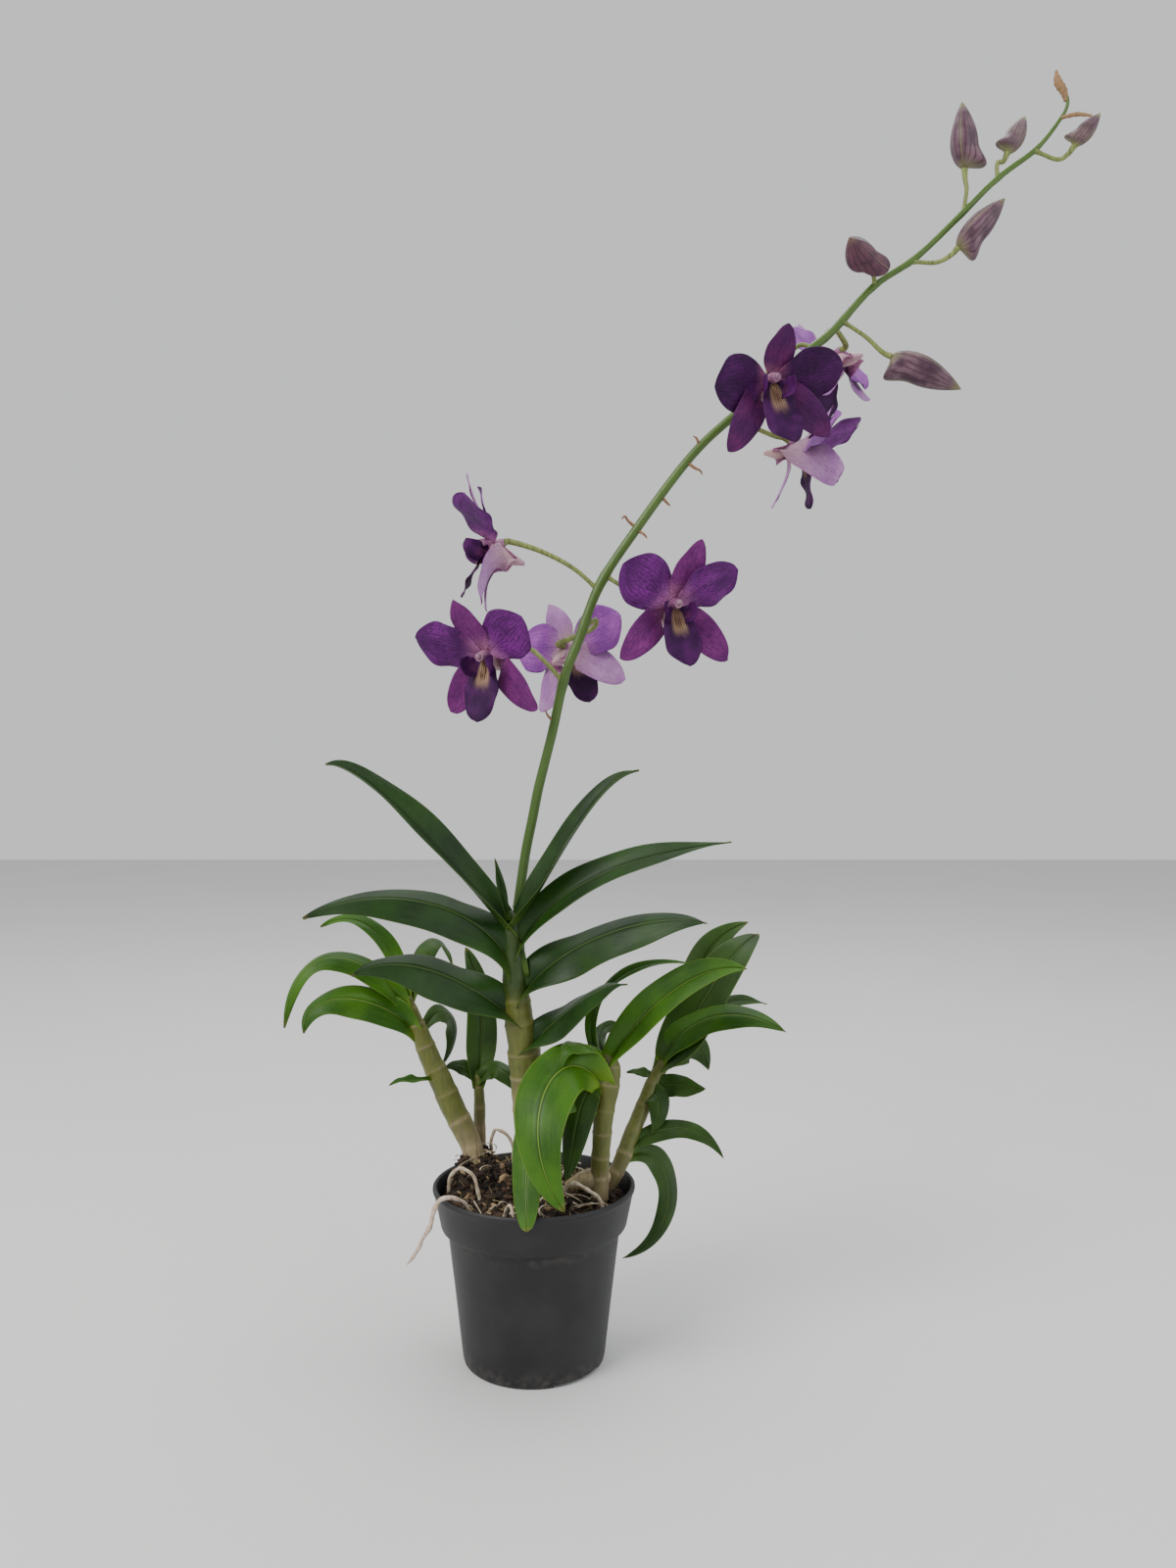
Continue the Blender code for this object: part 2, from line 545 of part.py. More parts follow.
def bloom(name, centre, heading, tilt, spread):
    frame = bloom_frame(centre, heading, tilt)
    turned_by = frame.to_3x3()
    out = turned_by @ Z_UP
    grown = []
    for piece, (angle, length, lift) in zip(PIECES, spread):
        way = Vector((math.cos(math.radians(angle)), math.sin(math.radians(angle)), 0))
        rise = math.sin(math.radians(lift))
        reach = math.cos(math.radians(lift))
        local = [way * 2.2 + Z_UP, way * (length * 0.33) + Z_UP * (length * rise * 0.45),
                 way * (length * 0.67) + Z_UP * (length * rise * 0.85),
                 way * (length * reach) + Z_UP * (length * rise)]
        if piece == "lip":
            local = [way * 1.5 + Z_UP * 2, way * (0.20 * length) + Z_UP * 8,
                     way * (0.45 * length) + Z_UP * 15,
                     way * (length * reach) + Z_UP * (length * rise)]
            shape = dict(half_width=8.0, folds=(50, 14), rows=4, peak=0.62, blunt=0.8,
                         base=0.35, wave=0.5)
        elif piece.startswith("petal"):
            shape = dict(half_width=14.0, folds=(24, 6), rows=5, peak=0.62, blunt=0.6,
                         base=0.12, wave=0.9)
        elif piece == "dorsal":
            shape = dict(half_width=7.6, folds=(24, 10), rows=4, peak=0.42, blunt=0.75,
                         base=0.20, wave=0.4)
        else:
            local[0] = Vector((way.x * 3, -8, -7))
            local[1] = way * (length * 0.30) + Z_UP * (length * rise * 0.3 - 1)
            shape = dict(half_width=8.4, folds=(10, 10), rows=5, peak=0.50, blunt=0.75,
                         base=0.40, wave=0.4)
        grown.append(blade(name + "_" + piece, [frame @ p for p in local], face=out,
                           thickness=PETAL_THICKNESS, **shape))
    for hand in (-1, 1):
        local = [Vector((hand * 1.5, -3, 3)), Vector((hand * 5, -4, 7)),
                 Vector((hand * 7.5, -1, 11)), Vector((hand * 7, 4, 14))]
        sideways = turned_by @ Vector((-hand, 0.2, 0.3))
        grown.append(blade(f"{name}_lobe_{hand}", [frame @ p for p in local], 4.2, sideways,
                           (20, 10), PETAL_THICKNESS, rows=3, across=2, peak=0.6, blunt=0.6,
                           base=0.5))
    spur = [Vector((0, -1, 2)), Vector((0, -8, -6)), Vector((0, -12.5, -13.5))]
    grown.append(tube(name + "_spur", [frame @ p for p in spur], [3.6, 3.4, 1.0], 6))
    column = [Vector((0, 0, -5)), Vector((0, 0, 0)), Vector((0, 1, 4)), Vector((0, 2, 9))]
    body = tube(name + "_column", [frame @ p for p in column], [2.3, 2.9, 2.8, 2.2], 6)
    fused(name, body, grown, PETAL_PURPLE)


for name, (centre, heading, tilt, spread) in BLOOMS.items():
    bloom(name, centre, heading, tilt, spread)

# Buds: base, tip, greatest radius and the side its chin is on
BUDS = {
    "bud_1": ((185, -2, 519), (221, -4, 501), 8.0, (-1, 0, -1)),
    "bud_2": ((172, -9, 562), (158, -27, 569), 8.0, (1, 0, -0.5)),
    "bud_3": ((219, -4, 574), (243, -6, 599), 7.0, (1, 0, -1)),
    "bud_4": ((224, 0, 617), (222, -2, 651), 7.4, (1, 0, 0)),
    "bud_5": ((246, 0, 625), (257, 4, 647), 5.4, (-1, -0.5, 0)),
    "bud_6": ((281, 0, 629), (293, -4, 644), 4.8, (-1, 0, 0)),
}


def bud(name, base, tip, radius, chin_side):
    """A closed bud: a ball drawn out along its length, three ribs, a chin below its base."""
    base, tip = Vector(base), Vector(tip)
    length = (tip - base).length
    ahead = (tip - base).normalized()
    other = ahead.cross(Vector(chin_side)).normalized()
    side = other.cross(ahead)
    work = bmesh.new()
    bmesh.ops.create_uvsphere(work, u_segments=10, v_segments=8, radius=1.0)
    for vert in work.verts:
        s = math.acos(max(-1.0, min(1.0, -vert.co.z))) / math.pi
        turn = math.atan2(vert.co.y, vert.co.x)
        wide = radius * math.sin(math.pi * s**0.8) ** 0.85 if s > 0.001 else 0.0
        if abs(s - 0.125) < 0.01:
            s, wide = 0.0, 1.9
        wide *= 1 + 0.08 * math.cos(3 * turn)
        chin = 0.75 * radius * max(0.0, math.cos(turn)) * math.exp(-((s - 0.22) / 0.14) ** 2)
        if wide < 2.3:
            chin = 0.0
        narrow = max(0.0, 1 - s) ** 0.15 if s < 0.999 else 0.0
        reach = wide * narrow + chin
        vert.co = (base + ahead * (length * s) + side * (reach * math.cos(turn))
                   + other * (reach * math.sin(turn))) * MM
    if work.calc_volume(signed=True) < 0:
        bmesh.ops.reverse_faces(work, faces=work.faces)
    mesh = bpy.data.meshes.new(name)
    work.to_mesh(mesh)
    work.free()
    mesh.shade_smooth()
    link(name, mesh, BUD_MAUVE)


for name, (base, tip, radius, chin_side) in BUDS.items():
    bud(name, base, tip, radius, chin_side)

# Flower stem: an arching stalk on top of the main cane, with a stalklet to each bloom and bud
STALK = [
    (-9, 4.5, 231.3), (-6, 5.5, 253), (-4, 5, 265), (-1, 3, 279), (2, 1, 294), (6, 0, 310),
    (10, -1, 326), (16, -2, 353), (23, -2, 371), (34, -2, 400), (53, -2, 429), (79, -2, 464),
    (99, -2, 484), (130, -2, 508), (142, -3, 521), (155, -2, 532), (176, -2, 555),
    (198, -2, 570), (222, -1, 593), (241, 0, 612), (261, -1, 627), (273, -3, 642),
    (276, -4, 649), (275, -4, 654),
]
STALK_RADIUS = [
    2.7, 2.6, 2.6, 2.6, 2.6, 2.5, 2.5, 2.5, 2.5, 2.4, 2.4, 2.3, 2.2, 2.1, 2.0, 2.0, 1.8,
    1.7, 1.6, 1.5, 1.3, 1.0, 0.9, 0.9,
]
STALKLETS = {
    "bloom_1": [(33, -2, 398), (20, -3, 409), (4, -5, 417)],
    "bloom_2": [(15, -2, 350), (6, -3, 360), (-4, 0, 368)],
    "bloom_3": [(26, -2, 378), (32, 3, 383), (30, 10, 379)],
    "bloom_4": [(37, -2, 405), (48, -3, 398), (58, -4, 392)],
    "bloom_5": [(145, -3, 523), (138, -1, 525), (130, -3, 518)],
    "bloom_6": [(150, -2, 528), (155, 8, 536), (156, 20, 537)],
    "bloom_7": [(103, -2, 487), (116, 6, 484), (127, 13, 482)],
    "bud_1": [(160, -2, 537), (172, -2, 529)],
    "bud_2": [(176, -2, 555), (176, -4, 557)],
    "bud_3": [(196, -2, 568), (208, -3, 567)],
    "bud_4": [(223, -1, 594), (225, 0, 606)],
    "bud_5": [(241, 0, 612), (241, 0, 620)],
    "bud_6": [(260, -1, 626), (272, 0, 622)],
}
stem_pieces = []
for name, path in STALKLETS.items():
    if name in BLOOMS:
        centre, heading, tilt = BLOOMS[name][:3]
        frame = bloom_frame(centre, heading, tilt)
        ends = [frame @ Vector((0, 0, -12)), frame @ Vector((0, 0, -5 - SEAT_GAP))]
        thick = (1.2, 2.2)
    else:
        base, tip = Vector(BUDS[name][0]), Vector(BUDS[name][1])
        ahead = (tip - base).normalized()
        ends = [base - ahead * 5, base - ahead * SEAT_GAP]
        thick = (1.1, 1.8)
    whole = [*rounded([*path, ends[0]], 1), ends[1]]
    last = len(whole) - 1
    widths = [thick[0] + (thick[1] - thick[0]) * (i / last) ** 1.5 for i in range(last + 1)]
    stem_pieces.append(tube("stalklet", whole, widths, 6))
# Scars and dried bracts where early flowers fell, and the dried tip of the stalk
for path, radii in (
    ([(53, -2, 430), (47, -4, 434)], (1.6, 0.9)),
    ([(53, -2, 429), (58, -4, 424)], (1.6, 0.9)),
    ([(79, -2, 464), (85, -4, 458)], (1.6, 0.9)),
    ([(86, -2, 470), (84, -4, 477)], (1.6, 0.9)),
    ([(66, -2, 446), (70, -3, 441)], (1.6, 0.9)),
    ([(11, -1, 329), (6, -3, 333)], (1.8, 1.0)),
    ([(273, -3, 642), (279, -8, 641), (285, -12, 638)], (1.0, 1.2, 0.7)),
    ([(275, -4, 650), (274, -4, 655), (271, -4, 660), (270, -4, 666)], (1.0, 2.6, 2.8, 0.7)),
):
    stem_pieces.append(tube("scar", path, radii, 6))
stalk = tube("stalk", STALK, STALK_RADIUS, 8)
fused("flower_stem", stalk, stem_pieces, STALK_GREEN)
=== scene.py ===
# %% [markdown]
# # A moth-flowered dendrobium in its nursery pot
#
# This lesson dresses a plain solid model of a potted orchid: leafy canes, roots, an arching
# flower stem, seven flowers and six buds. The solids say where everything is. Each piece made
# here keeps the form of its solid, to within a few millimetres, and adds what the eye looks for:
# soft edges, veins, gloss and colour that changes over the surface.
#
# All tables are in millimetres and `MM` turns them into metres. The origin is the middle of the
# pot's base, Z is up, and the flowers look toward -Y.

# %% Load the solids
import math

import bmesh
import bpy
from mathutils import Matrix, Vector, noise


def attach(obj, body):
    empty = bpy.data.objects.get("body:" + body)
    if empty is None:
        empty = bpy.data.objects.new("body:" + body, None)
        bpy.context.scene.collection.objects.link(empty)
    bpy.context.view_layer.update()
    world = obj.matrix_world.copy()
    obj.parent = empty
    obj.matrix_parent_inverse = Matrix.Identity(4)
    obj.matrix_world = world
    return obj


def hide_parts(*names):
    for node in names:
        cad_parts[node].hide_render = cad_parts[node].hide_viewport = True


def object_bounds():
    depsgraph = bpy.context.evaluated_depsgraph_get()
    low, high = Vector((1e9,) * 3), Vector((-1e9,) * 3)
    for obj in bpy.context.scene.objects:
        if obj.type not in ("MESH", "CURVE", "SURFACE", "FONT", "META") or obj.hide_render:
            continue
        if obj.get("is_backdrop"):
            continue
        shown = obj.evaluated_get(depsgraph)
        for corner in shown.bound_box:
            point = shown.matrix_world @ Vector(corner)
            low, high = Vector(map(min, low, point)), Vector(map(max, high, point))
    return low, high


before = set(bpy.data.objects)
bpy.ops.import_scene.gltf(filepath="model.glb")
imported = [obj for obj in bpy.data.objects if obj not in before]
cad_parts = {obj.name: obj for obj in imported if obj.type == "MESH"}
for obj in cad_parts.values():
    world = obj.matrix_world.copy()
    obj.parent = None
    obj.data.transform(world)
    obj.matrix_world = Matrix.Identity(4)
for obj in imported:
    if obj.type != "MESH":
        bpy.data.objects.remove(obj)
solid_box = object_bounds()
# Vector noise takes its seed from the clock unless it is given one. This one bends the roots.
noise.seed_set(1795592604)
MM = 0.001
UP = Vector((0, 0, 1))
print(len(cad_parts), "solids, from", list(solid_box[0]), "to", list(solid_box[1]))

# %% [markdown]
# ## The camera
#
# The photograph was taken from chest height, level, at arm's length. The pot's rim and base
# give the height and the distance, because their ellipses open with the angle they are seen at.
# A 27 mm lens on a 36 mm frame sees about as wide as a telephone's main camera.

# %% Camera
camera = bpy.data.objects.new("camera", bpy.data.cameras.new("camera"))
camera.location = (0.028, -0.612, 0.297)
camera.rotation_euler = (math.radians(90), 0, 0)
camera.data.lens = 27
camera.data.sensor_width = 36
camera.data.clip_start = 0.01
bpy.context.scene.collection.objects.link(camera)
bpy.context.scene.camera = camera
print("camera at", [round(side / MM) for side in camera.location], "mm")

# %% [markdown]
# ## Writing nodes as sums
#
# A material and a geometry tree are both graphs of nodes. Wiring them by hand hides the idea, so
# a `Socket` stands for one value in a graph and adds a Math node for each `+`, `-` or `*`.
# `Graph.node` makes any other node: first its settings, then its values or links.


# %% Socket and graph
class Socket:
    """One value in a graph of nodes."""

    def __init__(self, graph, link):
        self.graph = graph
        self.link = link

    def math(self, operation, *values, clamp=False):
        settings = {"operation": operation, "use_clamp": clamp}
        return self.graph.node("ShaderNodeMath", settings, values)

    def __add__(self, other):
        return self.math("ADD", self, other)

    __radd__ = __add__

    def __sub__(self, other):
        return self.math("SUBTRACT", self, other)

    def __rsub__(self, other):
        return self.math("SUBTRACT", other, self)

    def __mul__(self, other):
        return self.math("MULTIPLY", self, other)

    def __pow__(self, other):
        return self.math("POWER", self, other)

    def __abs__(self):
        return self.math("ABSOLUTE", self)

    def sine(self):
        return self.math("SINE", self)

    def held(self):
        """The value kept between 0 and 1."""
        return self.math("ADD", self, 0.0, clamp=True)

    def rises(self, low, high):
        """0 below low, 1 above high and a soft step between them."""
        return self.graph.node(
            "ShaderNodeMapRange", {"interpolation_type": "SMOOTHSTEP"}, (self, low, high, 0.0, 1.0)
        )

    def falls(self, low, high):
        """1 below low, 0 above high."""
        return 1 - self.rises(low, high)


class Graph:
    """A graph of nodes that is being built."""

    def node(self, kind, settings=None, values=(), output=0):
        made = self.tree.nodes.new(kind)
        for key, value in (settings or {}).items():
            setattr(made, key, value)
        places = values.items() if isinstance(values, dict) else enumerate(values)
        for key, value in places:
            if isinstance(value, Socket):
                self.tree.links.new(value.link, made.inputs[key])
            else:
                made.inputs[key].default_value = value
        return Socket(self, made.outputs[output])


# %% [markdown]
# ## Finishes
#
# Each finish is one Principled shader. What varies over the surface feeds its colour, its
# roughness and a bump; anything that is the same all over is set on the shader itself. Patterns
# read the place on the object in metres, or the piece's own map, which runs along a leaf or
# petal in U and across it in V.


# %% A finish and its helpers
class Finish(Graph):
    """A material that is being built on its Principled shader."""

    def __init__(self, name, **constants):
        self.material = bpy.data.materials.new(name)
        self.material.use_nodes = True
        self.tree = self.material.node_tree
        self.shader = self.tree.nodes["Principled BSDF"]
        for label, value in constants.items():
            self.shader.inputs[label.replace("_", " ")].default_value = value

    def place(self):
        return self.node("ShaderNodeTexCoord", output="Object")

    def stretched(self, x, y, z):
        return self.node("ShaderNodeVectorMath", {"operation": "MULTIPLY"},
                         (self.place(), (x, y, z)))

    def mapped(self):
        """How far along and how far across the piece's own map, both from 0 to 1."""
        place = self.node("ShaderNodeUVMap", {"uv_map": "run"})
        along = self.node("ShaderNodeSeparateXYZ", None, (place,), 0)
        across = self.node("ShaderNodeSeparateXYZ", None, (place,), 1)
        return along, across

    def joined(self, x, y):
        return self.node("ShaderNodeCombineXYZ", None, (x, y))

    def attribute(self, name):
        return self.node("ShaderNodeAttribute", {"attribute_name": name}, output="Fac")

    def noise(self, scale, detail, where=None):
        return self.node("ShaderNodeTexNoise", None,
                         {"Vector": where or self.place(), "Scale": scale, "Detail": detail})

    def over_map(self, detail, x, y):
        """Noise over the piece's own map."""
        return self.noise(1.0, detail, self.joined(x, y))

    def drawn_out(self, detail, x, y, z):
        """Noise with its own fineness along each side."""
        return self.noise(1.0, detail, self.stretched(x, y, z))

    def cells(self, where):
        """How far each place is from the edge of its cell."""
        return self.node("ShaderNodeTexVoronoi", {"feature": "DISTANCE_TO_EDGE"},
                         {"Vector": where, "Scale": 1.0})

    def mix(self, share, first, second):
        """The first colour where share is 0, the second where it is 1."""
        first, second = (
            c if isinstance(c, Socket) or len(c) == 4 else (*c, 1.0) for c in (first, second)
        )
        return self.node("ShaderNodeMix", {"data_type": "RGBA"},
                         {0: share, 6: first, 7: second}, 2)

    def painted(self, colour, *layers):
        """Lays more colours over the first. Each layer is a share and a colour."""
        for share, tint in layers:
            colour = self.mix(share, colour, tint)
        return colour

    def done(self, colour, roughness, height=None, depth=0.0, strength=0.0):
        links = self.tree.links
        links.new(colour.link, self.shader.inputs["Base Color"])
        links.new(roughness.link, self.shader.inputs["Roughness"])
        if height is not None:
            bump = self.node("ShaderNodeBump", None,
                             {"Height": height, "Strength": strength, "Distance": depth})
            links.new(bump.link, self.shader.inputs["Normal"])
        return self.material


def shaded(colour, share):
    return tuple(c * share for c in colour)


# %% [markdown]
# ### Leaves
#
# A dendrobium leaf is leathery. Its veins run side by side from base to tip, the midrib is a
# sunken pale line, and the upper side is glossier than the lower one. Noise drawn out along the
# map gives the veins; the leaf's colour drifts slowly and turns yellow at the base and the tip.


# %% Leaf finishes
def leaf_finish(name, deep, fresh, rib, gloss, coat):
    leaf = Finish(name, Coat_Weight=coat, Coat_Roughness=0.3, Specular_IOR_Level=0.2)
    along, across = leaf.mapped()
    off_middle = abs(across - 0.5) * 2
    veins = leaf.over_map(2.0, along * 2.5, across * 46)
    fine = leaf.over_map(1.0, along * 9, across * 150)
    colour = leaf.painted(
        deep,
        (leaf.noise(38, 3.0).rises(0.32, 0.68), fresh),
        (veins.rises(0.35, 0.72) * 0.5, fresh),
        (leaf.noise(900, 2.0).rises(0.55, 0.8) * 0.10, rib),
        (off_middle.rises(0.93, 1.0) * 0.35, rib),
        # painted shade: a darker band beside the sunken midrib, where shade falls in the crease
        (off_middle.falls(0.02, 0.14) * 0.5, shaded(deep, 0.45)),
        (off_middle.falls(0.010, 0.034) * 0.55, rib),
        (along.falls(0.0, 0.13) * 0.55, rib),
        (along.rises(0.965, 1.0) * 0.5, (0.20, 0.15, 0.04)),
    )
    roughness = gloss + veins * 0.16 + leaf.noise(120, 2.0) * 0.10
    height = off_middle.rises(0.0, 0.07) * 0.8 + veins * 0.45 + fine * 0.16
    return leaf.done(colour, roughness, height, 0.0005, 0.6)


DARK_LEAF = (
    leaf_finish("dark leaf, upper side", (0.003, 0.016, 0.0015), (0.012, 0.044, 0.003),
                (0.08, 0.14, 0.02), 0.32, 0.04),
    leaf_finish("dark leaf, under side", (0.014, 0.042, 0.005), (0.028, 0.070, 0.008),
                (0.11, 0.18, 0.03), 0.42, 0.0),
)
BRIGHT_LEAF = (
    leaf_finish("young leaf, upper side", (0.013, 0.054, 0.002), (0.042, 0.122, 0.004),
                (0.20, 0.32, 0.03), 0.32, 0.04),
    leaf_finish("young leaf, under side", (0.050, 0.125, 0.010), (0.095, 0.200, 0.018),
                (0.20, 0.30, 0.05), 0.42, 0.0),
)
DEEP_LEAF = (
    leaf_finish("grown leaf, upper side", (0.008, 0.030, 0.002), (0.026, 0.070, 0.004),
                (0.13, 0.22, 0.03), 0.32, 0.05),
    leaf_finish("grown leaf, under side", (0.026, 0.070, 0.007), (0.050, 0.112, 0.012),
                (0.13, 0.21, 0.04), 0.42, 0.0),
)
print("leaf finishes:", [m.name for m in DARK_LEAF + BRIGHT_LEAF + DEEP_LEAF])

# %% [markdown]
# ### Canes and stalks
#
# A cane is a stack of joints, each wrapped in a papery sheath that is green at first and dries
# to a streaked tan from the base up. The stem pieces carry two numbers at each point: `along`,
# the distance from the base in metres, and `tone`, how far the sheath has dried.


# %% Cane and stalk finishes
def stem_finish(name, fresh, deep, young, dry, gloss, streaks):
    stem = Finish(name, Specular_IOR_Level=0.4)
    along, tone = stem.attribute("along"), stem.attribute("tone")
    lengthwise = stem.drawn_out(3.0, 700, 700, 55)
    blotches = stem.noise(110, 3.0)
    drying = (tone + (lengthwise - 0.5) * 0.9 * streaks).rises(0.30, 0.75)
    colour = stem.painted(
        fresh,
        (lengthwise.rises(0.3, 0.7) * streaks, deep),
        (blotches.rises(0.45, 0.75) * 0.4, deep),
        (tone.falls(0.02, 0.16), young),
        (drying, stem.mix(lengthwise.rises(0.35, 0.75), dry, shaded(dry, 0.45))),
        (stem.noise(1500, 1.0).rises(0.66, 0.8) * 0.25, shaded(dry, 0.4)),
    )
    height = lengthwise * 0.7 + stem.over_map(1.0, along * 900, 0.0) * 0.2
    return stem.done(colour, gloss + drying * 0.22 + blotches * 0.12, height, 0.0003, 0.45)


CANE = stem_finish("cane", (0.105, 0.115, 0.018), (0.062, 0.072, 0.010), (0.022, 0.044, 0.004),
                   (0.30, 0.24, 0.13), 0.38, 0.7)
STALK_GREEN = stem_finish("flower stalk", (0.066, 0.125, 0.016), (0.034, 0.072, 0.010),
                          (0.040, 0.085, 0.012), (0.21, 0.25, 0.07), 0.34, 0.35)
DRIED = stem_finish("dried bract", (0.26, 0.14, 0.06), (0.13, 0.06, 0.035), (0.26, 0.14, 0.06),
                    (0.38, 0.24, 0.12), 0.62, 0.8)
print("stem finishes:", CANE.name, STALK_GREEN.name, DRIED.name)

# %% [markdown]
# ### Petals
#
# The front of a petal is deep violet. Veins fan out from its narrow base and join in a net, and
# the violet fades to rosy tan at the base, near the column. The back is lilac with the veins
# showing through. A little sheen stands for the velvet of the petal's tiny cells.


# %% Petal finishes
def petal_finish(name, deep, body, base, vein, base_reach, vein_strength, sheen):
    petal = Finish(name, Sheen_Weight=sheen, Sheen_Roughness=0.4, Specular_IOR_Level=0.20,
                   Sheen_Tint=(0.75, 0.55, 0.9, 1.0))
    along, across = petal.mapped()
    off_middle = abs(across - 0.5) * 2
    bend = petal.over_map(2.0, along * 5, across * 5)
    lines = abs(((across + (bend - 0.5) * 0.12) * 44).sine()) ** 0.6
    net = petal.cells(petal.joined(along * 10 + bend, across * 13 + bend * 2))
    grain = petal.noise(2600, 1.0)
    veined = lines.falls(0.10, 0.70) * 0.8 + net.falls(0.0, 0.12) * 0.6
    colour = petal.painted(
        deep,
        (petal.noise(75, 3.0).rises(0.3, 0.7), body),
        (off_middle.rises(0.55, 1.0) * 0.55, deep),
        ((along + (bend - 0.5) * 0.10).falls(0.02, base_reach) * 0.85, base),
        ((veined * vein_strength).held(), vein),
        (off_middle.falls(0.0, 0.05) * 0.35, vein),
    )
    height = lines * 0.55 + net.rises(0.0, 0.12) * 0.25 + grain * 0.2
    return petal.done(colour, 0.56 + grain * 0.16, height, 0.00025, 0.5)


PETAL = (
    petal_finish("petal, front", (0.070, 0.005, 0.095), (0.165, 0.014, 0.200),
                 (0.42, 0.15, 0.32), (0.030, 0.002, 0.042), 0.40, 0.80, 0.03),
    petal_finish("petal, back", (0.18, 0.035, 0.24), (0.31, 0.08, 0.36),
                 (0.50, 0.28, 0.42), (0.09, 0.012, 0.18), 0.50, 0.55, 0.04),
)
SEPAL = (
    petal_finish("sepal, front", (0.110, 0.010, 0.110), (0.200, 0.026, 0.180),
                 (0.46, 0.18, 0.31), (0.048, 0.003, 0.058), 0.42, 0.85, 0.03),
    petal_finish("sepal, back", (0.34, 0.15, 0.38), (0.47, 0.26, 0.49),
                 (0.46, 0.31, 0.30), (0.22, 0.06, 0.24), 0.60, 0.55, 0.06),
)
# Darker copies of the petal and sepal fronts for bloom_5 alone, as painted shade; the backs stay
# the same
SHADED_PETAL = (
    petal_finish("petal front, darkened for painted shade", (0.024, 0.001, 0.036),
                 (0.064, 0.003, 0.080), (0.30, 0.08, 0.19), (0.010, 0.001, 0.016),
                 0.30, 0.7, 0.0),
    PETAL[1],
)
SHADED_SEPAL = (
    petal_finish("sepal front, darkened for painted shade", (0.060, 0.006, 0.070),
                 (0.120, 0.012, 0.098), (0.36, 0.12, 0.21), (0.026, 0.002, 0.034),
                 0.36, 0.8, 0.06),
    SEPAL[1],
)
print("petal finishes:", [m.name for m in PETAL + SEPAL])

# %% [markdown]
# ### Lip, column and spur
#
# The lip is the landing place for insects: dark violet at the end, tan with violet veins down
# its throat. The column is rosy, and the spur behind the flower is tan and pink.


# %% Finishes of the flower's heart
def lip_finish(name, deep, body, throat):
    lip = Finish(name, Specular_IOR_Level=0.18)
    along, across = lip.mapped()
    off_middle = abs(across - 0.5) * 2
    bend = lip.over_map(2.0, along * 6, across * 6)
    lines = abs(((across + (bend - 0.5) * 0.08) * 44).sine())
    pale = (along + (bend - 0.5) * 0.12).falls(0.40, 0.64) * off_middle.falls(0.26, 0.58)
    stripes = 1 - lines.falls(0.12, 0.5) * 0.7
    colour = lip.painted(deep, (lip.noise(120, 3.0).rises(0.3, 0.7), body),
                         (pale * stripes, throat))
    height = lines * 0.5 + lip.noise(2200, 1.0) * 0.25
    return lip.done(colour, 0.56 + bend * 0.14, height, 0.0003, 0.55)


def flesh_finish(name, light, dark, scale, rough):
    flesh = Finish(name, Specular_IOR_Level=0.35)
    clouds = flesh.noise(scale, 4.0)
    threads = flesh.drawn_out(2.0, 900, 900, 160)
    colour = flesh.painted(light, (clouds.rises(0.32, 0.68), dark),
                           (threads.rises(0.50, 0.72) * 0.4, dark))
    return flesh.done(colour, rough + clouds * 0.14, clouds * 0.5 + threads * 0.4, 0.0003, 0.4)


LIP = lip_finish("lip", (0.020, 0.001, 0.030), (0.050, 0.003, 0.064), (0.30, 0.19, 0.11))
SIDE_LOBE = lip_finish("side lobe of the lip", (0.028, 0.002, 0.042), (0.070, 0.006, 0.085),
                       (0.110, 0.022, 0.090))
CALLUS = flesh_finish("lip ridges", (0.27, 0.17, 0.09), (0.17, 0.08, 0.06), 260, 0.52)
COLUMN = flesh_finish("column", (0.38, 0.21, 0.28), (0.21, 0.06, 0.17), 190, 0.42)
CAP = flesh_finish("pollen cap", (0.33, 0.20, 0.25), (0.20, 0.08, 0.17), 500, 0.42)
SPUR = flesh_finish("spur", (0.48, 0.31, 0.30), (0.36, 0.19, 0.28), 120, 0.42)
print("heart of the flower:", LIP.name, CALLUS.name, COLUMN.name, CAP.name, SPUR.name)

# %% [markdown]
# ### Buds
#
# A bud is wrapped by its folded sepals. They are greyed violet with darker veins from base to
# tip, and green shows where the sepals meet at the tip and at the chin.


# %% Bud finish
def bud_finish(name, body, dark, green):
    bud = Finish(name, Specular_IOR_Level=0.30, Sheen_Weight=0.05)
    along, around = bud.mapped()
    bend = bud.over_map(2.0, along * 4, around * 8)
    ribs = abs(((around + (bend - 0.5) * 0.04) * 48).sine())
    seams = abs((around * 3 * math.pi).sine())
    ends = along.rises(0.80, 1.0) + along.falls(0.0, 0.16) * 0.8
    colour = bud.painted(
        body,
        (bud.noise(130, 3.0).rises(0.3, 0.7), dark),
        (ribs.falls(0.08, 0.6) * 0.85, dark),
        ((ends + (bend - 0.5) * 0.4).held() * 0.75, green),
        (seams.falls(0.02, 0.12) * 0.5, green),
    )
    height = ribs * 0.5 + seams.rises(0.0, 0.10) * 0.8 + bud.noise(1800, 1.0) * 0.06
    return bud.done(colour, 0.40 + bend * 0.16, height, 0.0004, 0.6)


BUD = bud_finish("bud", (0.150, 0.080, 0.105), (0.042, 0.014, 0.031), (0.19, 0.20, 0.07))
YOUNG_BUD = bud_finish("young bud", (0.160, 0.110, 0.105), (0.085, 0.042, 0.060),
                       (0.23, 0.27, 0.08))
BROWN_BUD = bud_finish("turned bud", (0.120, 0.045, 0.065), (0.045, 0.014, 0.032),
                       (0.16, 0.10, 0.07))

# %% [markdown]
# ### Pot, bark and roots
#
# The pot is charcoal plastic with a fine moulded grain, dull dust in the step under the collar
# and light scuffs. The bark chips each carry a random `tint`, so that one finish gives black,
# brown and tan chips. Roots are covered in velamen, a spongy white coat that is green where wet.


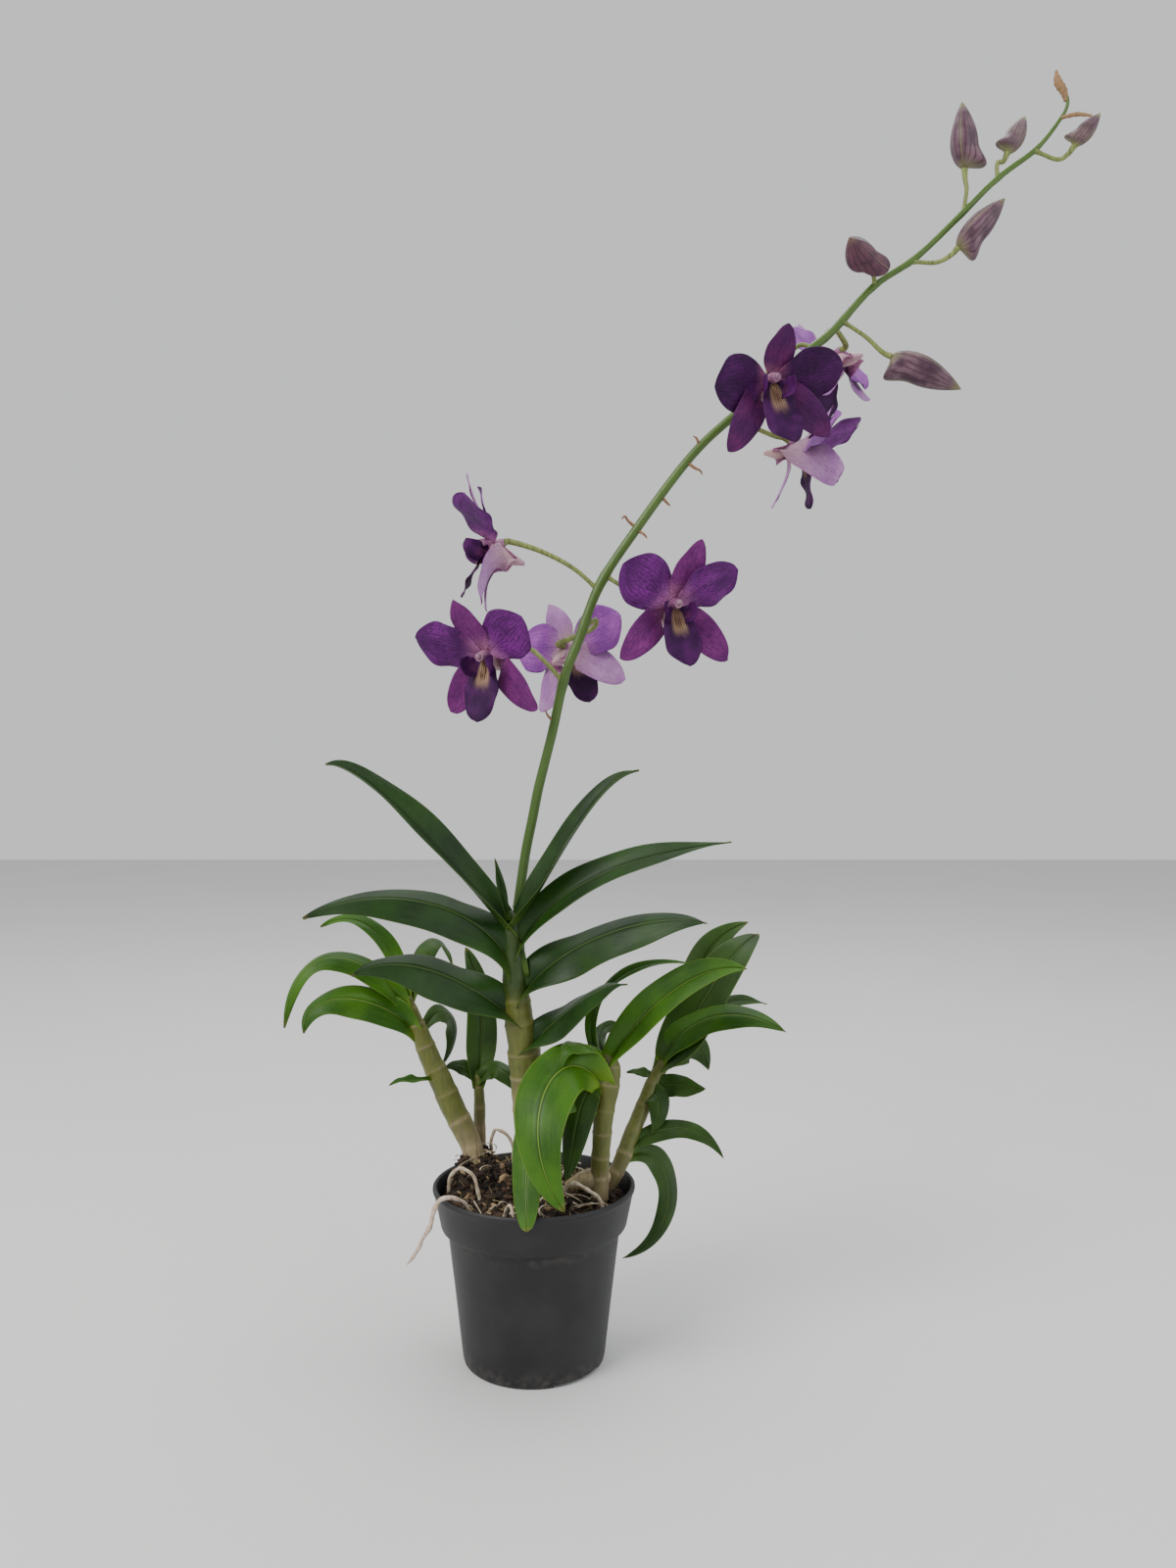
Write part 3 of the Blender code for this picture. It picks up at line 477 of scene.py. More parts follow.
# %% Pot, bark and root finishes
def pot_finish():
    pot = Finish("charcoal plastic", Specular_IOR_Level=0.34)
    grain = pot.noise(5200, 2.0)
    clouds = pot.noise(42, 4.0)
    sink = pot.drawn_out(2.0, 260, 260, 14)
    height_up = pot.node("ShaderNodeSeparateXYZ", None, (pot.place(),), 2)
    dust = abs(height_up - 0.0665).falls(0.0, 0.005) * pot.noise(180, 3.0).rises(0.45, 0.7)
    foot = height_up.falls(0.001, 0.012) * pot.noise(260, 3.0).rises(0.4, 0.7)
    scuffs = pot.drawn_out(3.0, 90, 90, 1300).rises(0.70, 0.82)
    colour = pot.painted(
        (0.010, 0.010, 0.0112),
        (clouds.rises(0.35, 0.7), (0.018, 0.018, 0.0192)),
        (dust * 0.2, (0.16, 0.14, 0.12)),
        (foot * 0.3, (0.13, 0.11, 0.09)),
        (scuffs * 0.18, (0.16, 0.16, 0.165)),
    )
    roughness = 0.43 + clouds * 0.14 + dust * 0.2 + scuffs * 0.1
    return pot.done(colour, roughness, grain * 0.5 + sink * 0.3 + scuffs * 0.2, 0.00018, 0.45)


def chip_finish(name, dark, brown, tan):
    chip = Finish(name, Specular_IOR_Level=0.25)
    tint = chip.attribute("tint")
    layers = chip.drawn_out(3.0, 420, 420, 1500)
    crumb = chip.noise(1500, 3.0)
    colour = chip.painted(
        dark, (tint.rises(0.20, 0.85), brown), (tint.rises(0.86, 0.97), tan),
        (layers.rises(0.45, 0.7) * 0.45, brown), (crumb.rises(0.5, 0.75) * 0.5, dark),
    )
    return chip.done(colour, 0.74 + crumb * 0.2, layers * 0.7 + crumb * 0.5, 0.0006, 0.8)


def root_finish(name, pale, shade, green):
    root = Finish(name, Specular_IOR_Level=0.25)
    tone = root.attribute("tone")
    wrinkles = root.noise(620, 3.0)
    rings = root.over_map(2.0, root.attribute("along") * 420, 0.3)
    colour = root.painted(
        pale, (wrinkles.rises(0.35, 0.7), shade),
        (root.noise(140, 3.0).rises(0.5, 0.75) * 0.6, green), (tone.rises(0.5, 1.0) * 0.6, shade),
    )
    return root.done(colour, 0.62 + wrinkles * 0.2, wrinkles * 0.6 + rings * 0.6, 0.0003, 0.6)


POT_PLASTIC = pot_finish()
BARK = chip_finish("bark chips", (0.012, 0.009, 0.007), (0.060, 0.034, 0.020),
                   (0.36, 0.25, 0.14))
PEAT = chip_finish("peat", (0.010, 0.007, 0.006), (0.030, 0.019, 0.012), (0.10, 0.07, 0.04))
MOSS = chip_finish("moss threads", (0.060, 0.050, 0.020), (0.22, 0.17, 0.08),
                   (0.44, 0.36, 0.20))
ROOT = root_finish("root", (0.56, 0.49, 0.38), (0.33, 0.25, 0.17), (0.30, 0.28, 0.15))
PINK_ROOT = root_finish("root over the rim", (0.60, 0.50, 0.42), (0.40, 0.29, 0.22),
                        (0.45, 0.33, 0.22))
print("pot and mix finishes:", POT_PLASTIC.name, BARK.name, PEAT.name, MOSS.name, ROOT.name)

# %% [markdown]
# ## Objects and joining
#
# Each solid of the frame is stood for by one object here. Its parts are made apart and joined
# at the end, because leaves, cane and rings have different finishes but move as one.


# %% Making and joining objects
def new_object(name, mesh, *finishes):
    made = bpy.data.objects.new(name, mesh)
    bpy.context.scene.collection.objects.link(made)
    for finish in finishes:
        mesh.materials.append(finish)
    return made


def worked_in(source, name):
    """The object's shape with its modifiers worked in, as a plain object."""
    graph = bpy.context.evaluated_depsgraph_get()
    mesh = bpy.data.meshes.new_from_object(source.evaluated_get(graph))
    bpy.data.objects.remove(source)
    return new_object(name, mesh)


def one_piece(name, parts, slot, *nodes):
    """Joins the parts, sets the piece on its body and hides the solids that it stands for."""
    first = parts[0]
    with bpy.context.temp_override(active_object=first, object=first,
                                   selected_objects=parts, selected_editable_objects=parts):
        bpy.ops.object.join()
    first.name = name
    first.data.name = name
    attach(first, "root")
    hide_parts(*nodes)
    print(f"{name}: {len(first.data.polygons)} faces")


# %% [markdown]
# ## Stems that follow a path
#
# Canes, stalks, spurs and roots are all round stems of changing thickness. A Geometry Nodes tree
# makes them: the path is a line of points that carries `thickness`, and Curve to Mesh sweeps a
# circle along it, scaled by that number. One tree then serves every stem on the plant, where
# a curve object with a bevel would need one object for each stem.


# %% The stem tree
class Growth(Graph):
    """A Geometry Nodes tree that is being built, with its sizes as named inputs."""

    def __init__(self, name, **sizes):
        self.tree = bpy.data.node_groups.new(name, "GeometryNodeTree")
        face = self.tree.interface
        face.new_socket("Geometry", in_out="INPUT", socket_type="NodeSocketGeometry")
        for label, (kind, value) in sizes.items():
            socket = face.new_socket(label, in_out="INPUT", socket_type="NodeSocket" + kind)
            if value is not None:
                socket.default_value = value
        face.new_socket("Geometry", in_out="OUTPUT", socket_type="NodeSocketGeometry")
        self.start = self.tree.nodes.new("NodeGroupInput")
        self.end = self.tree.nodes.new("NodeGroupOutput")

    def given(self, label):
        return Socket(self, self.start.outputs[label])

    def chance(self, low, high, seed):
        """A random number for each point."""
        return self.node("FunctionNodeRandomValue", {"data_type": "FLOAT"},
                         {2: low, 3: high, 8: seed}, 1)

    def ends_with(self, shape, finish):
        smooth = self.node("GeometryNodeSetShadeSmooth", None, (shape,))
        plain = self.node("GeometryNodeRealizeInstances", None, (smooth,))
        dressed = self.node("GeometryNodeSetMaterial", None,
                            {"Geometry": plain, "Material": finish})
        self.tree.links.new(dressed.link, self.end.inputs[0])
        return self.tree


def grown(source, tree, name, **sizes):
    """Runs the tree on the object with these sizes and gives back a plain object."""
    modifier = source.modifiers.new(tree.name, "NODES")
    modifier.node_group = tree
    for item in tree.interface.items_tree:
        if item.in_out == "INPUT" and item.name in sizes:
            modifier[item.identifier] = sizes[item.name]
    return worked_in(source, name)


def stem_tree():
    stem = Growth("round stems", Sides=("Int", 14), Finish=("Material", None))
    line = stem.node("GeometryNodeMeshToCurve", None, (stem.given("Geometry"),))
    ring = stem.node("GeometryNodeCurvePrimitiveCircle", None,
                     {"Resolution": stem.given("Sides"), "Radius": 1.0})
    thick = stem.node("GeometryNodeInputNamedAttribute", {"data_type": "FLOAT"},
                      {"Name": "thickness"})
    swept = stem.node("GeometryNodeCurveToMesh", None, {
        "Curve": line, "Profile Curve": ring, "Scale": thick, "Fill Caps": True,
    })
    return stem.ends_with(swept, stem.given("Finish"))


STEMS = stem_tree()
print("stem tree has", len(STEMS.nodes), "nodes")


# %% [markdown]
# The paths in the tables have few points, as far apart as they were measured. A Catmull-Rom
# curve passes through all of them and turns softly, so it rounds both the path and its radii.


# %% Stems along rounded paths
def rounded(points, steps):
    """More points along a smooth path through the given ones."""
    path = [Vector(p) for p in points]
    ends = [path[0] * 2 - path[1], *path, path[-1] * 2 - path[-2]]
    found = []
    for a, b, c, d in zip(ends, ends[1:], ends[2:], ends[3:]):
        for step in range(steps):
            t = step / steps
            found.append((b * 2 + (c - a) * t + (a * 2 - b * 5 + c * 4 - d) * t**2
                          + (b * 3 - a - c * 3 + d) * t**3) / 2)
    found.append(path[-1])
    return found


def rounded_numbers(numbers, steps):
    return [p.x for p in rounded([(n, 0, 0) for n in numbers], steps)]


def stems(name, paths, finish, sides):
    """Round stems from (points, radii, tones) in millimetres, already as fine as they should be."""
    places, edges, thickness, along, tone = [], [], [], [], []
    for points, radii, tones in paths:
        first, run = len(places), 0.0
        for number, point in enumerate(points):
            if number:
                edges.append((first + number - 1, first + number))
                run += (Vector(point) - Vector(points[number - 1])).length
            places.append(Vector(point) * MM)
            along.append(run * MM)
        thickness += [max(0.05, r) * MM for r in radii]
        tone += tones
    mesh = bpy.data.meshes.new(name)
    mesh.from_pydata(places, edges, [])
    for label, numbers in (("thickness", thickness), ("along", along), ("tone", tone)):
        mesh.attributes.new(label, "FLOAT", "POINT").data.foreach_set("value", numbers)
    return grown(new_object(name + "_path", mesh), STEMS, name, Sides=sides, Finish=finish)


# %% [markdown]
# ## Leaves and petals
#
# A leaf and a petal are both a sheet laid along a midrib. The midrib is a cubic through four
# measured places, and at each step along it the sheet has a half width, a fold and a wave. The
# sheet is built twice, a thickness apart and thinner toward its edge, and closed with a rim.
# Making the two sides by hand, not with Solidify, lets each side have its own finish.


# %% A sheet along a midrib
FOLD_SETTLES = 0.35  # share of the length after which the fold no longer changes
EDGE_THINS = 0.72  # how much thinner the edge is than the middle
TIP_THINS = 0.5
CHANNEL_WIDTH = 0.08  # of the sunken midrib, as a share of the half width


def through(points, t):
    """A point and a direction on the cubic that passes through four points at even steps."""
    p0, p1, p2, p3 = (Vector(p) for p in points)
    b = (-5 * p0 + 18 * p1 - 9 * p2 + 2 * p3) / 6
    c = (2 * p0 - 9 * p1 + 18 * p2 - 5 * p3) / 6
    s = 1 - t
    place = p0 * s**3 + b * (3 * s * s * t) + c * (3 * s * t * t) + p3 * t**3
    slope = (b - p0) * (s * s) + (c - b) * (2 * s * t) + (p3 - c) * (t * t)
    return place, slope.normalized()


def half_share(s, peak, blunt, base):
    """Half width along the length, as a share of the widest."""
    if s < peak:
        return base + (1 - base) * math.sin(math.pi / 2 * s / peak)
    return max(0.03, math.cos(math.pi / 2 * (s - peak) / (1 - peak)) ** blunt)


def sheet(name, spine, half, face, folds, finishes, thick, rows=40, across=14, peak=0.4,
          blunt=0.75, base=0.42, wave=0.5, ruffle=0.0, cup=0.0, phase=0.0, crease=0.0,
          channel=0.0):
    face = Vector(face)
    sides = ([], [])
    marks = []  # how far along and how far across each point is
    for row in range(rows + 1):
        s = row / rows
        place, ahead = through(spine, s)
        side = ahead.cross(face).normalized()
        upper = side.cross(ahead)
        width = half * half_share(s, peak, blunt, base)
        blend = min(1.0, s / FOLD_SETTLES)
        blend = blend * blend * (3 - 2 * blend)
        fold = math.radians(folds[0] + (folds[1] - folds[0]) * blend)
        for column in range(across + 1):
            u = 2 * column / across - 1
            arm = math.sqrt(u * u + crease) - math.sqrt(crease)
            rise = width * arm * math.sin(fold)
            rise += wave * abs(u) * math.sin(s * 13 + u * 2)
            rise += ruffle * u**4 * math.sin(s * 19 + phase + (2.1 if u > 0 else 0.0))
            rise -= cup * width * u * u + channel * math.exp(-((u / CHANNEL_WIDTH) ** 2))
            lean = u / (abs(u) + 0.12) * math.sin(fold)
            normal = (upper * math.cos(fold) - side * lean).normalized()
            co = place + side * (width * u * math.cos(fold)) + upper * rise
            half_thick = thick / 2 * (1 - EDGE_THINS * u**4) * (1 - TIP_THINS * s**6)
            sides[0].append((co + normal * half_thick) * MM)
            sides[1].append((co - normal * half_thick) * MM)
            marks.append((s, (u + 1) / 2))
    wide = across + 1
    count = len(marks)
    faces, slots = [], []
    for row in range(rows):
        for column in range(across):
            a = row * wide + column
            faces.append((a, a + 1, a + wide + 1, a + wide))
            faces.append((count + a, count + a + wide, count + a + wide + 1, count + a + 1))
            slots += [0, 1]
    rim = [*range(wide), *(r * wide + across for r in range(1, rows + 1)),
           *(rows * wide + c for c in range(across - 1, -1, -1)),
           *(r * wide for r in range(rows - 1, 0, -1))]
    for a, b in zip(rim, rim[1:] + rim[:1]):
        faces.append((b, a, count + a, count + b))
        slots.append(0)
    mesh = bpy.data.meshes.new(name)
    mesh.from_pydata(sides[0] + sides[1], [], faces)
    mesh.polygons.foreach_set("material_index", slots)
    layer = mesh.uv_layers.new(name="run")
    marks = marks + marks
    spread = [number for loop in mesh.loops for number in marks[loop.vertex_index]]
    layer.data.foreach_set("uv", spread)
    mesh.shade_smooth()
    return new_object(name, mesh, *finishes)


# %% [markdown]
# ## The canes
#
# Each cane stands in the bark and swells in the middle, where the plant stores water. At every
# joint the old sheath leaves a ring: the radius steps out a little and back in. The base has
# dried to tan. `rings` gives the heights of the joints, `dry_to` how high the tan reaches and
# `young_from` the height above which the sheath is still dark green.

# %% Canes
CANES = {
    "main": dict(
        path=[(1, 5, 58), (0, 5, 80), (-1, 5, 100), (-2, 3, 118), (-3, 2, 134), (-4, 1, 144),
              (-5, 1, 154), (-6, 0, 163), (-8, 0, 175), (-9, 0, 185), (-10, 0, 197),
              (-11, 1, 214), (-11, 2, 231)],
        radii=[7.2, 7.6, 8.0, 8.5, 8.9, 8.4, 8.8, 8.0, 7.7, 7.0, 6.6, 6.0, 5.4],
        rings=[84, 97, 112, 128, 145, 158, 172, 184, 196, 207, 219], dry_to=150,
        young_from=196),
    "left": dict(
        path=[(-28, 10, 60), (-29, 10, 84), (-31, 11, 97), (-36, 12, 110), (-44, 14, 125),
              (-50, 15, 138), (-56, 16, 150), (-61, 17, 162), (-65, 18, 171), (-70, 20, 183)],
        radii=[3.6, 3.9, 4.9, 6.0, 6.4, 6.2, 5.6, 5.0, 4.2, 3.0],
        rings=[92, 104, 118, 132, 145, 157, 168, 176], dry_to=124),
    "back": dict(
        path=[(-29, 26, 66), (-30, 27, 88), (-31, 28, 110), (-31, 28, 123), (-32, 29, 140)],
        radii=[2.8, 3.2, 3.3, 3.1, 2.4], rings=[98, 110, 122, 132], dry_to=126),
    "right_front": dict(
        path=[(33, -5, 60), (34, -5, 86), (34, -5, 97), (35, -7, 113), (36, -8, 128),
              (38, -6, 141), (39, -5, 151), (37, -4, 159)],
        radii=[4.2, 4.6, 4.8, 4.9, 5.4, 6.2, 5.6, 3.4], rings=[94, 106, 118, 130, 142, 151],
        dry_to=108),
    "right_back": dict(
        path=[(34, 13, 64), (37, 11, 79), (42, 10, 90), (46, 11, 98), (50, 15, 107),
              (57, 23, 121), (64, 30, 135), (71, 35, 146), (76, 40, 154)],
        radii=[3.4, 3.8, 4.2, 4.3, 4.4, 4.2, 4.0, 3.6, 2.6],
        rings=[92, 101, 112, 123, 133, 143, 149], dry_to=104),
}


STEPS = 9  # between two measured places
DRY_FADE = 30  # the height over which tan turns to green
YOUNG_FADE = 26


def cane(key, path, radii, rings, dry_to, young_from=400):
    points = rounded(path, STEPS)
    widths = rounded_numbers(radii, STEPS)
    tones = []
    for number, point in enumerate(points):
        near = min(((point.z - z) for z in rings), key=abs)
        ring = math.exp(-(near / 0.9) ** 2)
        waist = 0.035 * math.exp(-((near - 3.5) / 2.5) ** 2)
        widths[number] *= 1 + 0.055 * ring - waist
        dried = min(1.0, max(0.0, (dry_to - point.z) / DRY_FADE))
        grown_up = min(1.0, max(0.0, (young_from - point.z) / YOUNG_FADE))
        tones.append(min(1.0, 0.24 * grown_up + 0.72 * dried + 0.30 * ring * grown_up))
    widths[-1] *= 0.55
    return stems(key + "_cane", [(points, widths, tones)], CANE, 28)


# %% [markdown]
# ## The leaves
#
# For each leaf: four places along the midrib from the cane to the tip, the half width, the way
# its upper side looks, and how steeply its halves fold up at the base and farther out. The fold
# at the base is what lets a leaf clasp its cane.

# %% Leaves
LEAVES = {
    "main": [
        ("low_right", [(-5, -1, 157), (13, -14, 178), (30, -28, 193), (47, -42, 200)],
         11.5, (0.1, -0.60, 0.8), (55, -20)),
        ("low_left", [(-8, 0, 172), (-37, -14, 196), (-65, -26, 207), (-88, -36, 203)],
         14.3, (-0.1, -0.68, 0.75), (52, -20)),
        ("mid_right", [(-8, 0, 184), (21, -14, 213), (57, -28, 228), (86, -38, 229)],
         14.3, (0.1, -0.66, 0.75), (52, -20)),
        ("mid_left", [(-9, 0, 196), (-37, -12, 230), (-77, -25, 240), (-112, -35, 231)],
         14.0, (-0.1, -0.68, 0.75), (50, -22)),
        ("up_right", [(-9, 0, 207), (15, -9, 239), (53, -16, 258), (100, -22, 268)],
         11.0, (-0.1, -0.66, 0.75), (52, 16)),
        ("top_left", [(-11, 0, 217), (-41, -6, 254), (-78, -10, 292), (-106, -12, 307)],
         12.3, (0.3, -0.45, 0.85), (56, 30)),
        ("top_right", [(-11, -1, 221), (9, -8, 253), (31, -12, 287), (54, -14, 304)],
         9.5, (-0.4, -0.45, 0.85), (56, 30)),
        ("spear", [(-13, -3, 226), (-16, -6, 240), (-18, -7, 250), (-20, -7, 259)],
         2.6, (0.2, -1.0, 0.2), (45, 30)),
    ],
    "left": [
        ("outer", [(-69, 18, 174), (-88, 15, 198), (-114, 8, 204), (-130, 0, 170)],
         8.5, (-0.2, -0.6, 0.9), (50, -18)),
        ("inner", [(-63, 17, 162), (-83, 9, 180), (-107, 2, 184), (-119, -4, 168)],
         10.0, (-0.3, -0.8, 0.65), (50, -14)),
        ("bract", [(-53, 14, 140), (-62, 4, 142), (-68, 0, 143), (-75, -3, 141)],
         2.6, (0, -0.6, 0.8), (45, 20)),
        ("strap", [(-69, 20, 180), (-78, 27, 204), (-95, 30, 221), (-118, 30, 219)],
         5.5, (0.2, -0.7, 0.7), (45, 18)),
        ("rear", [(-68, 20, 178), (-63, 36, 201), (-57, 52, 209), (-51, 72, 192)],
         6.0, (0.3, -0.2, 1.0), (45, -15)),
        ("hang", [(-62, 17, 163), (-52, 31, 172), (-47, 40, 161), (-54, 46, 139)],
         5.5, (0.6, -0.6, 0.6), (45, -10)),
    ],
    "back": [
        ("upright", [(-32, 28, 131), (-31, 34, 152), (-32, 41, 177), (-41, 50, 205)],
         9.0, (0.2, -1.0, 0.2), (45, 20)),
        ("right", [(-32, 28, 134), (-24, 24, 143), (-16, 20, 141), (-7, 17, 129)],
         6.0, (0, -0.7, 0.7), (45, -15)),
        ("left", [(-32, 28, 134), (-38, 28, 142), (-44, 29, 144), (-50, 30, 142)],
         4.5, (0, -0.7, 0.7), (45, -10)),
    ],
    "right_front": [
        ("big", [(38, -5, 150), (55, -14, 177), (80, -22, 199), (107, -28, 205)],
         10.5, (-0.4, -0.8, 0.5), (50, 18)),
        ("arch", [(38, -4, 148), (31, 4, 176), (49, 6, 198), (84, 6, 202)],
         4.0, (-0.5, -0.6, 0.7), (45, 20)),
        ("curl", [(37, -6, 154), (24, -18, 165), (16, -24, 164), (14, -28, 152)],
         5.5, (-0.3, -0.6, 0.9), (45, -18)),
        ("grey", [(37, -4, 155), (34, 10, 163), (38, 17, 167), (46, 23, 168)],
         4.0, (-0.2, -0.9, 0.5), (45, 10)),
        ("front", [(36, -8, 142), (14, -30, 155), (4, -50, 133), (17, -62, 97)],
         15.5, (-0.3, -0.9, 0.5), (34, -10)),
        ("fall", [(35, -8, 130), (6, -22, 134), (-2, -40, 112), (-1, -58, 86)],
         10.0, (-0.3, -0.9, 0.4), (48, -16)),
        ("dark", [(36, -8, 141), (26, -15, 137), (21, -21, 119), (17, -25, 99)],
         8.0, (-0.2, -0.9, 0.3), (45, -10)),
    ],
    "right_back": [
        ("broad", [(70, 34, 143), (82, 28, 164), (101, 34, 193), (124, 54, 212)],
         14.0, (-0.45, -0.85, 0.4), (48, 12)),
        ("behind", [(73, 38, 149), (88, 57, 180), (99, 63, 203), (121, 70, 217)],
         10.5, (-0.4, -0.9, 0.3), (48, 12)),
        ("long", [(68, 35, 142), (83, 22, 166), (106, 10, 175), (131, 0, 168)],
         9.0, (0, -0.75, 0.7), (48, -14)),
        ("square", [(73, 38, 149), (94, 56, 165), (112, 64, 172), (132, 72, 169)],
         5.5, (0, -0.6, 0.8), (45, 10)),
        ("under", [(66, 33, 139), (77, 40, 150), (88, 46, 150), (96, 50, 136)],
         10.0, (0, -0.9, 0.4), (45, -8)),
        ("right", [(60, 30, 127), (72, 25, 134), (81, 21, 134), (91, 17, 134)],
         6.5, (0, -0.85, 0.5), (45, -8)),
        ("left", [(65, 32, 136), (60, 31, 139), (55, 30, 140), (49, 29, 140)],
         2.8, (0, -0.7, 0.7), (45, 0)),
        ("drop", [(60, 29, 128), (65, 22, 129), (66, 17, 122), (62, 13, 111)],
         6.5, (0.2, -0.9, 0.3), (45, -8)),
        ("low", [(48, 13, 102), (66, 15, 112), (84, 12, 113), (99, 3, 101)],
         5.5, (0, -0.8, 0.55), (45, -12)),
        ("hang", [(46, 11, 98), (68, 26, 90), (71, 35, 60), (47, 35, 36)],
         7.0, (0.5, -0.9, 0.2), (45, -10)),
    ],
}
# These leaves are older and deeper green than the others on their shoot
GROWN_LEAVES = {"rear", "hang", "broad", "behind", "square", "under", "right", "left", "drop",
                "low", "dark", "grey"}
BLUNT = {"fall": 0.45, "front": 0.68, "broad": 0.55, "upright": 0.6}


def leafy_shoot(key, slot, young, old):
    main = key == "main"
    parts = [cane(key, **CANES[key])]
    for number, (label, spine, half, face, folds) in enumerate(LEAVES[key]):
        parts.append(sheet(
            f"{key}_{label}", spine, half, face, folds, old if label in GROWN_LEAVES else young,
            1.0, rows=52, across=26, blunt=1.0 if main else BLUNT.get(label, 0.75),
            base=0.58 if main else 0.46, ruffle=0.28, cup=0.03, phase=number * 1.7,
            channel=0.5 * min(1.0, half / 9),
        ))
    if key == "right_front":
        knot = rounded([(17, 0, 88), (26, -4, 92), (34, -2, 93), (37, 2, 92)], 8)
        widths = rounded_numbers([2.0, 5.0, 5.2, 3.6], 8)
        parts.append(stems("rhizome", [(knot, widths, [0.8] * len(knot))], CANE, 24))
    one_piece("leafy_" + key, parts, slot, "shoot_" + key)


leafy_shoot("main", "leaf_dark", DARK_LEAF, DARK_LEAF)
leafy_shoot("left", "leaf_bright", BRIGHT_LEAF, DEEP_LEAF)
leafy_shoot("back", "leaf_dark", DEEP_LEAF, DEEP_LEAF)
leafy_shoot("right_front", "leaf_bright", BRIGHT_LEAF, DEEP_LEAF)
leafy_shoot("right_back", "leaf_bright", BRIGHT_LEAF, DEEP_LEAF)

# %% [markdown]
# ## The flowers
#
# A dendrobium flower has three sepals and two broad petals round a column, and a lip below that
# rolls up at its sides. The two lower sepals run back to a spur. For each flower: its centre,
# the way it faces (0 is toward the viewer and 90 toward +X), its tilt, and for each petal the
# angle round the face, the length and how far it is lifted forward.

# %% Where the flowers are
PIECES = ("dorsal", "petal_left", "petal_right", "sepal_left", "sepal_right", "lip")
BLOOMS = {
    "bloom_1": ((-20, -8, 420), -88, -10,
                [(90, 39, 11), (118, 37, 4), (40, 35, 16), (238, 37, 16), (300, 38, 17),
                 (264, 32, 42)]),
    "bloom_2": ((-23, -14, 363), -25, -28,
                [(103, 34, 12), (160, 39, 8), (36, 34, 8), (228, 38, 14), (314, 39, 14),
                 (267, 36, 42)]),
    "bloom_3": ((17, 26, 371), 150, -10,
                [(55, 34, 10), (150, 34, 6), (5, 36, 6), (208, 38, 12), (300, 39, 12),
                 (262, 34, 42)]),
    "bloom_4": ((71, -16, 388), 15, -18,
                [(75, 36, 12), (146, 36, 8), (33, 37, 8), (223, 40, 14), (319, 40, 14),
                 (278, 36, 42)]),
    "bloom_5": ((119, -22, 500), 16, -24,
                [(85, 28, 14), (190, 31, 8), (14, 38, 8), (240, 42, 14), (326, 42, 14),
                 (286, 38, 44)]),
    "bloom_6": ((163, 32, 531), -138, -30,
                [(78, 30, 12), (178, 35, 6), (30, 30, 8), (204, 36, 12), (310, 33, 14),
                 (268, 34, 40)]),
    "bloom_7": ((140, 17, 478), 90, -30,
                [(108, 27, 12), (150, 30, 20), (67, 37, 38), (204, 38, 43), (282, 35, 8),
                 (266, 35, 40)]),
}
# A few petals are turned about their own length, in degrees
ROLLS = {("bloom_4", "petal_right"): 28, ("bloom_2", "petal_left"): -12,
         ("bloom_5", "petal_right"): 20, ("bloom_1", "petal_right"): 38}


def bloom_frame(centre, heading, tilt):
    """Local X to the right of the face, Y toward its top, Z out of it; in millimetres."""
    a, e = math.radians(heading), math.radians(tilt)
    out = Vector((math.sin(a) * math.cos(e), -math.cos(a) * math.cos(e), math.sin(e)))
    right = UP.cross(out).normalized()
    top = out.cross(right)
    placed = Matrix((right, top, out)).transposed().to_4x4()
    placed.translation = Vector(centre)
    return placed


# %% [markdown]
# Each petal is a sheet in the flower's own frame. The petals are widest past the middle with
# rolling edges; the sepals are narrower and end in a point; the lip carries three tan ridges
# down its throat, and the column ends in the little cap over the pollen.


# %% Shapes of the petals
SHAPES = {
    "lip": dict(half=9.4, folds=(50, 6), peak=0.68, blunt=0.55, base=0.42, wave=0.5,
                ruffle=0.7, cup=0.10),
    "petal": dict(half=14.2, folds=(24, 6), peak=0.60, blunt=0.66, base=0.16, wave=0.7,
                  ruffle=0.45, cup=0.07),
    "dorsal": dict(half=7.9, folds=(24, 10), peak=0.45, blunt=0.75, base=0.24, wave=0.3,
                   ruffle=0.25, cup=0.05),
    "sepal": dict(half=8.7, folds=(4, 10), peak=0.46, blunt=0.75, base=0.62, wave=0.3,
                  ruffle=0.25, cup=0.05),
}


def midrib(kind, angle, length, lift):
    """The way a petal points, and four places along it in the flower's own frame."""
    way = Vector((math.cos(math.radians(angle)), math.sin(math.radians(angle)), 0))
    rise = length * math.sin(math.radians(lift))
    tip = way * (length * math.cos(math.radians(lift))) + UP * rise
    if kind == "lip":
        return way, [way * 1.5 + UP * 2, way * (0.20 * length) + UP * 8,
                     way * (0.45 * length) + UP * 15, tip]
    far = way * (length * 0.67) + UP * (rise * 0.85)
    if kind == "sepal":
        return way, [Vector((way.x * 2, -10, -10)),
                     way * (length * 0.30) + UP * (rise * 0.3 - 1), far, tip]
    return way, [way * 2.2 + UP, way * (length * 0.33) + UP * (rise * 0.45), far, tip]


# %% [markdown]
# The spur, the column and its cap are the same in every flower, so their paths are worked out
# once. A flower is then six sheets, two side lobes, three ridges and these three round parts.

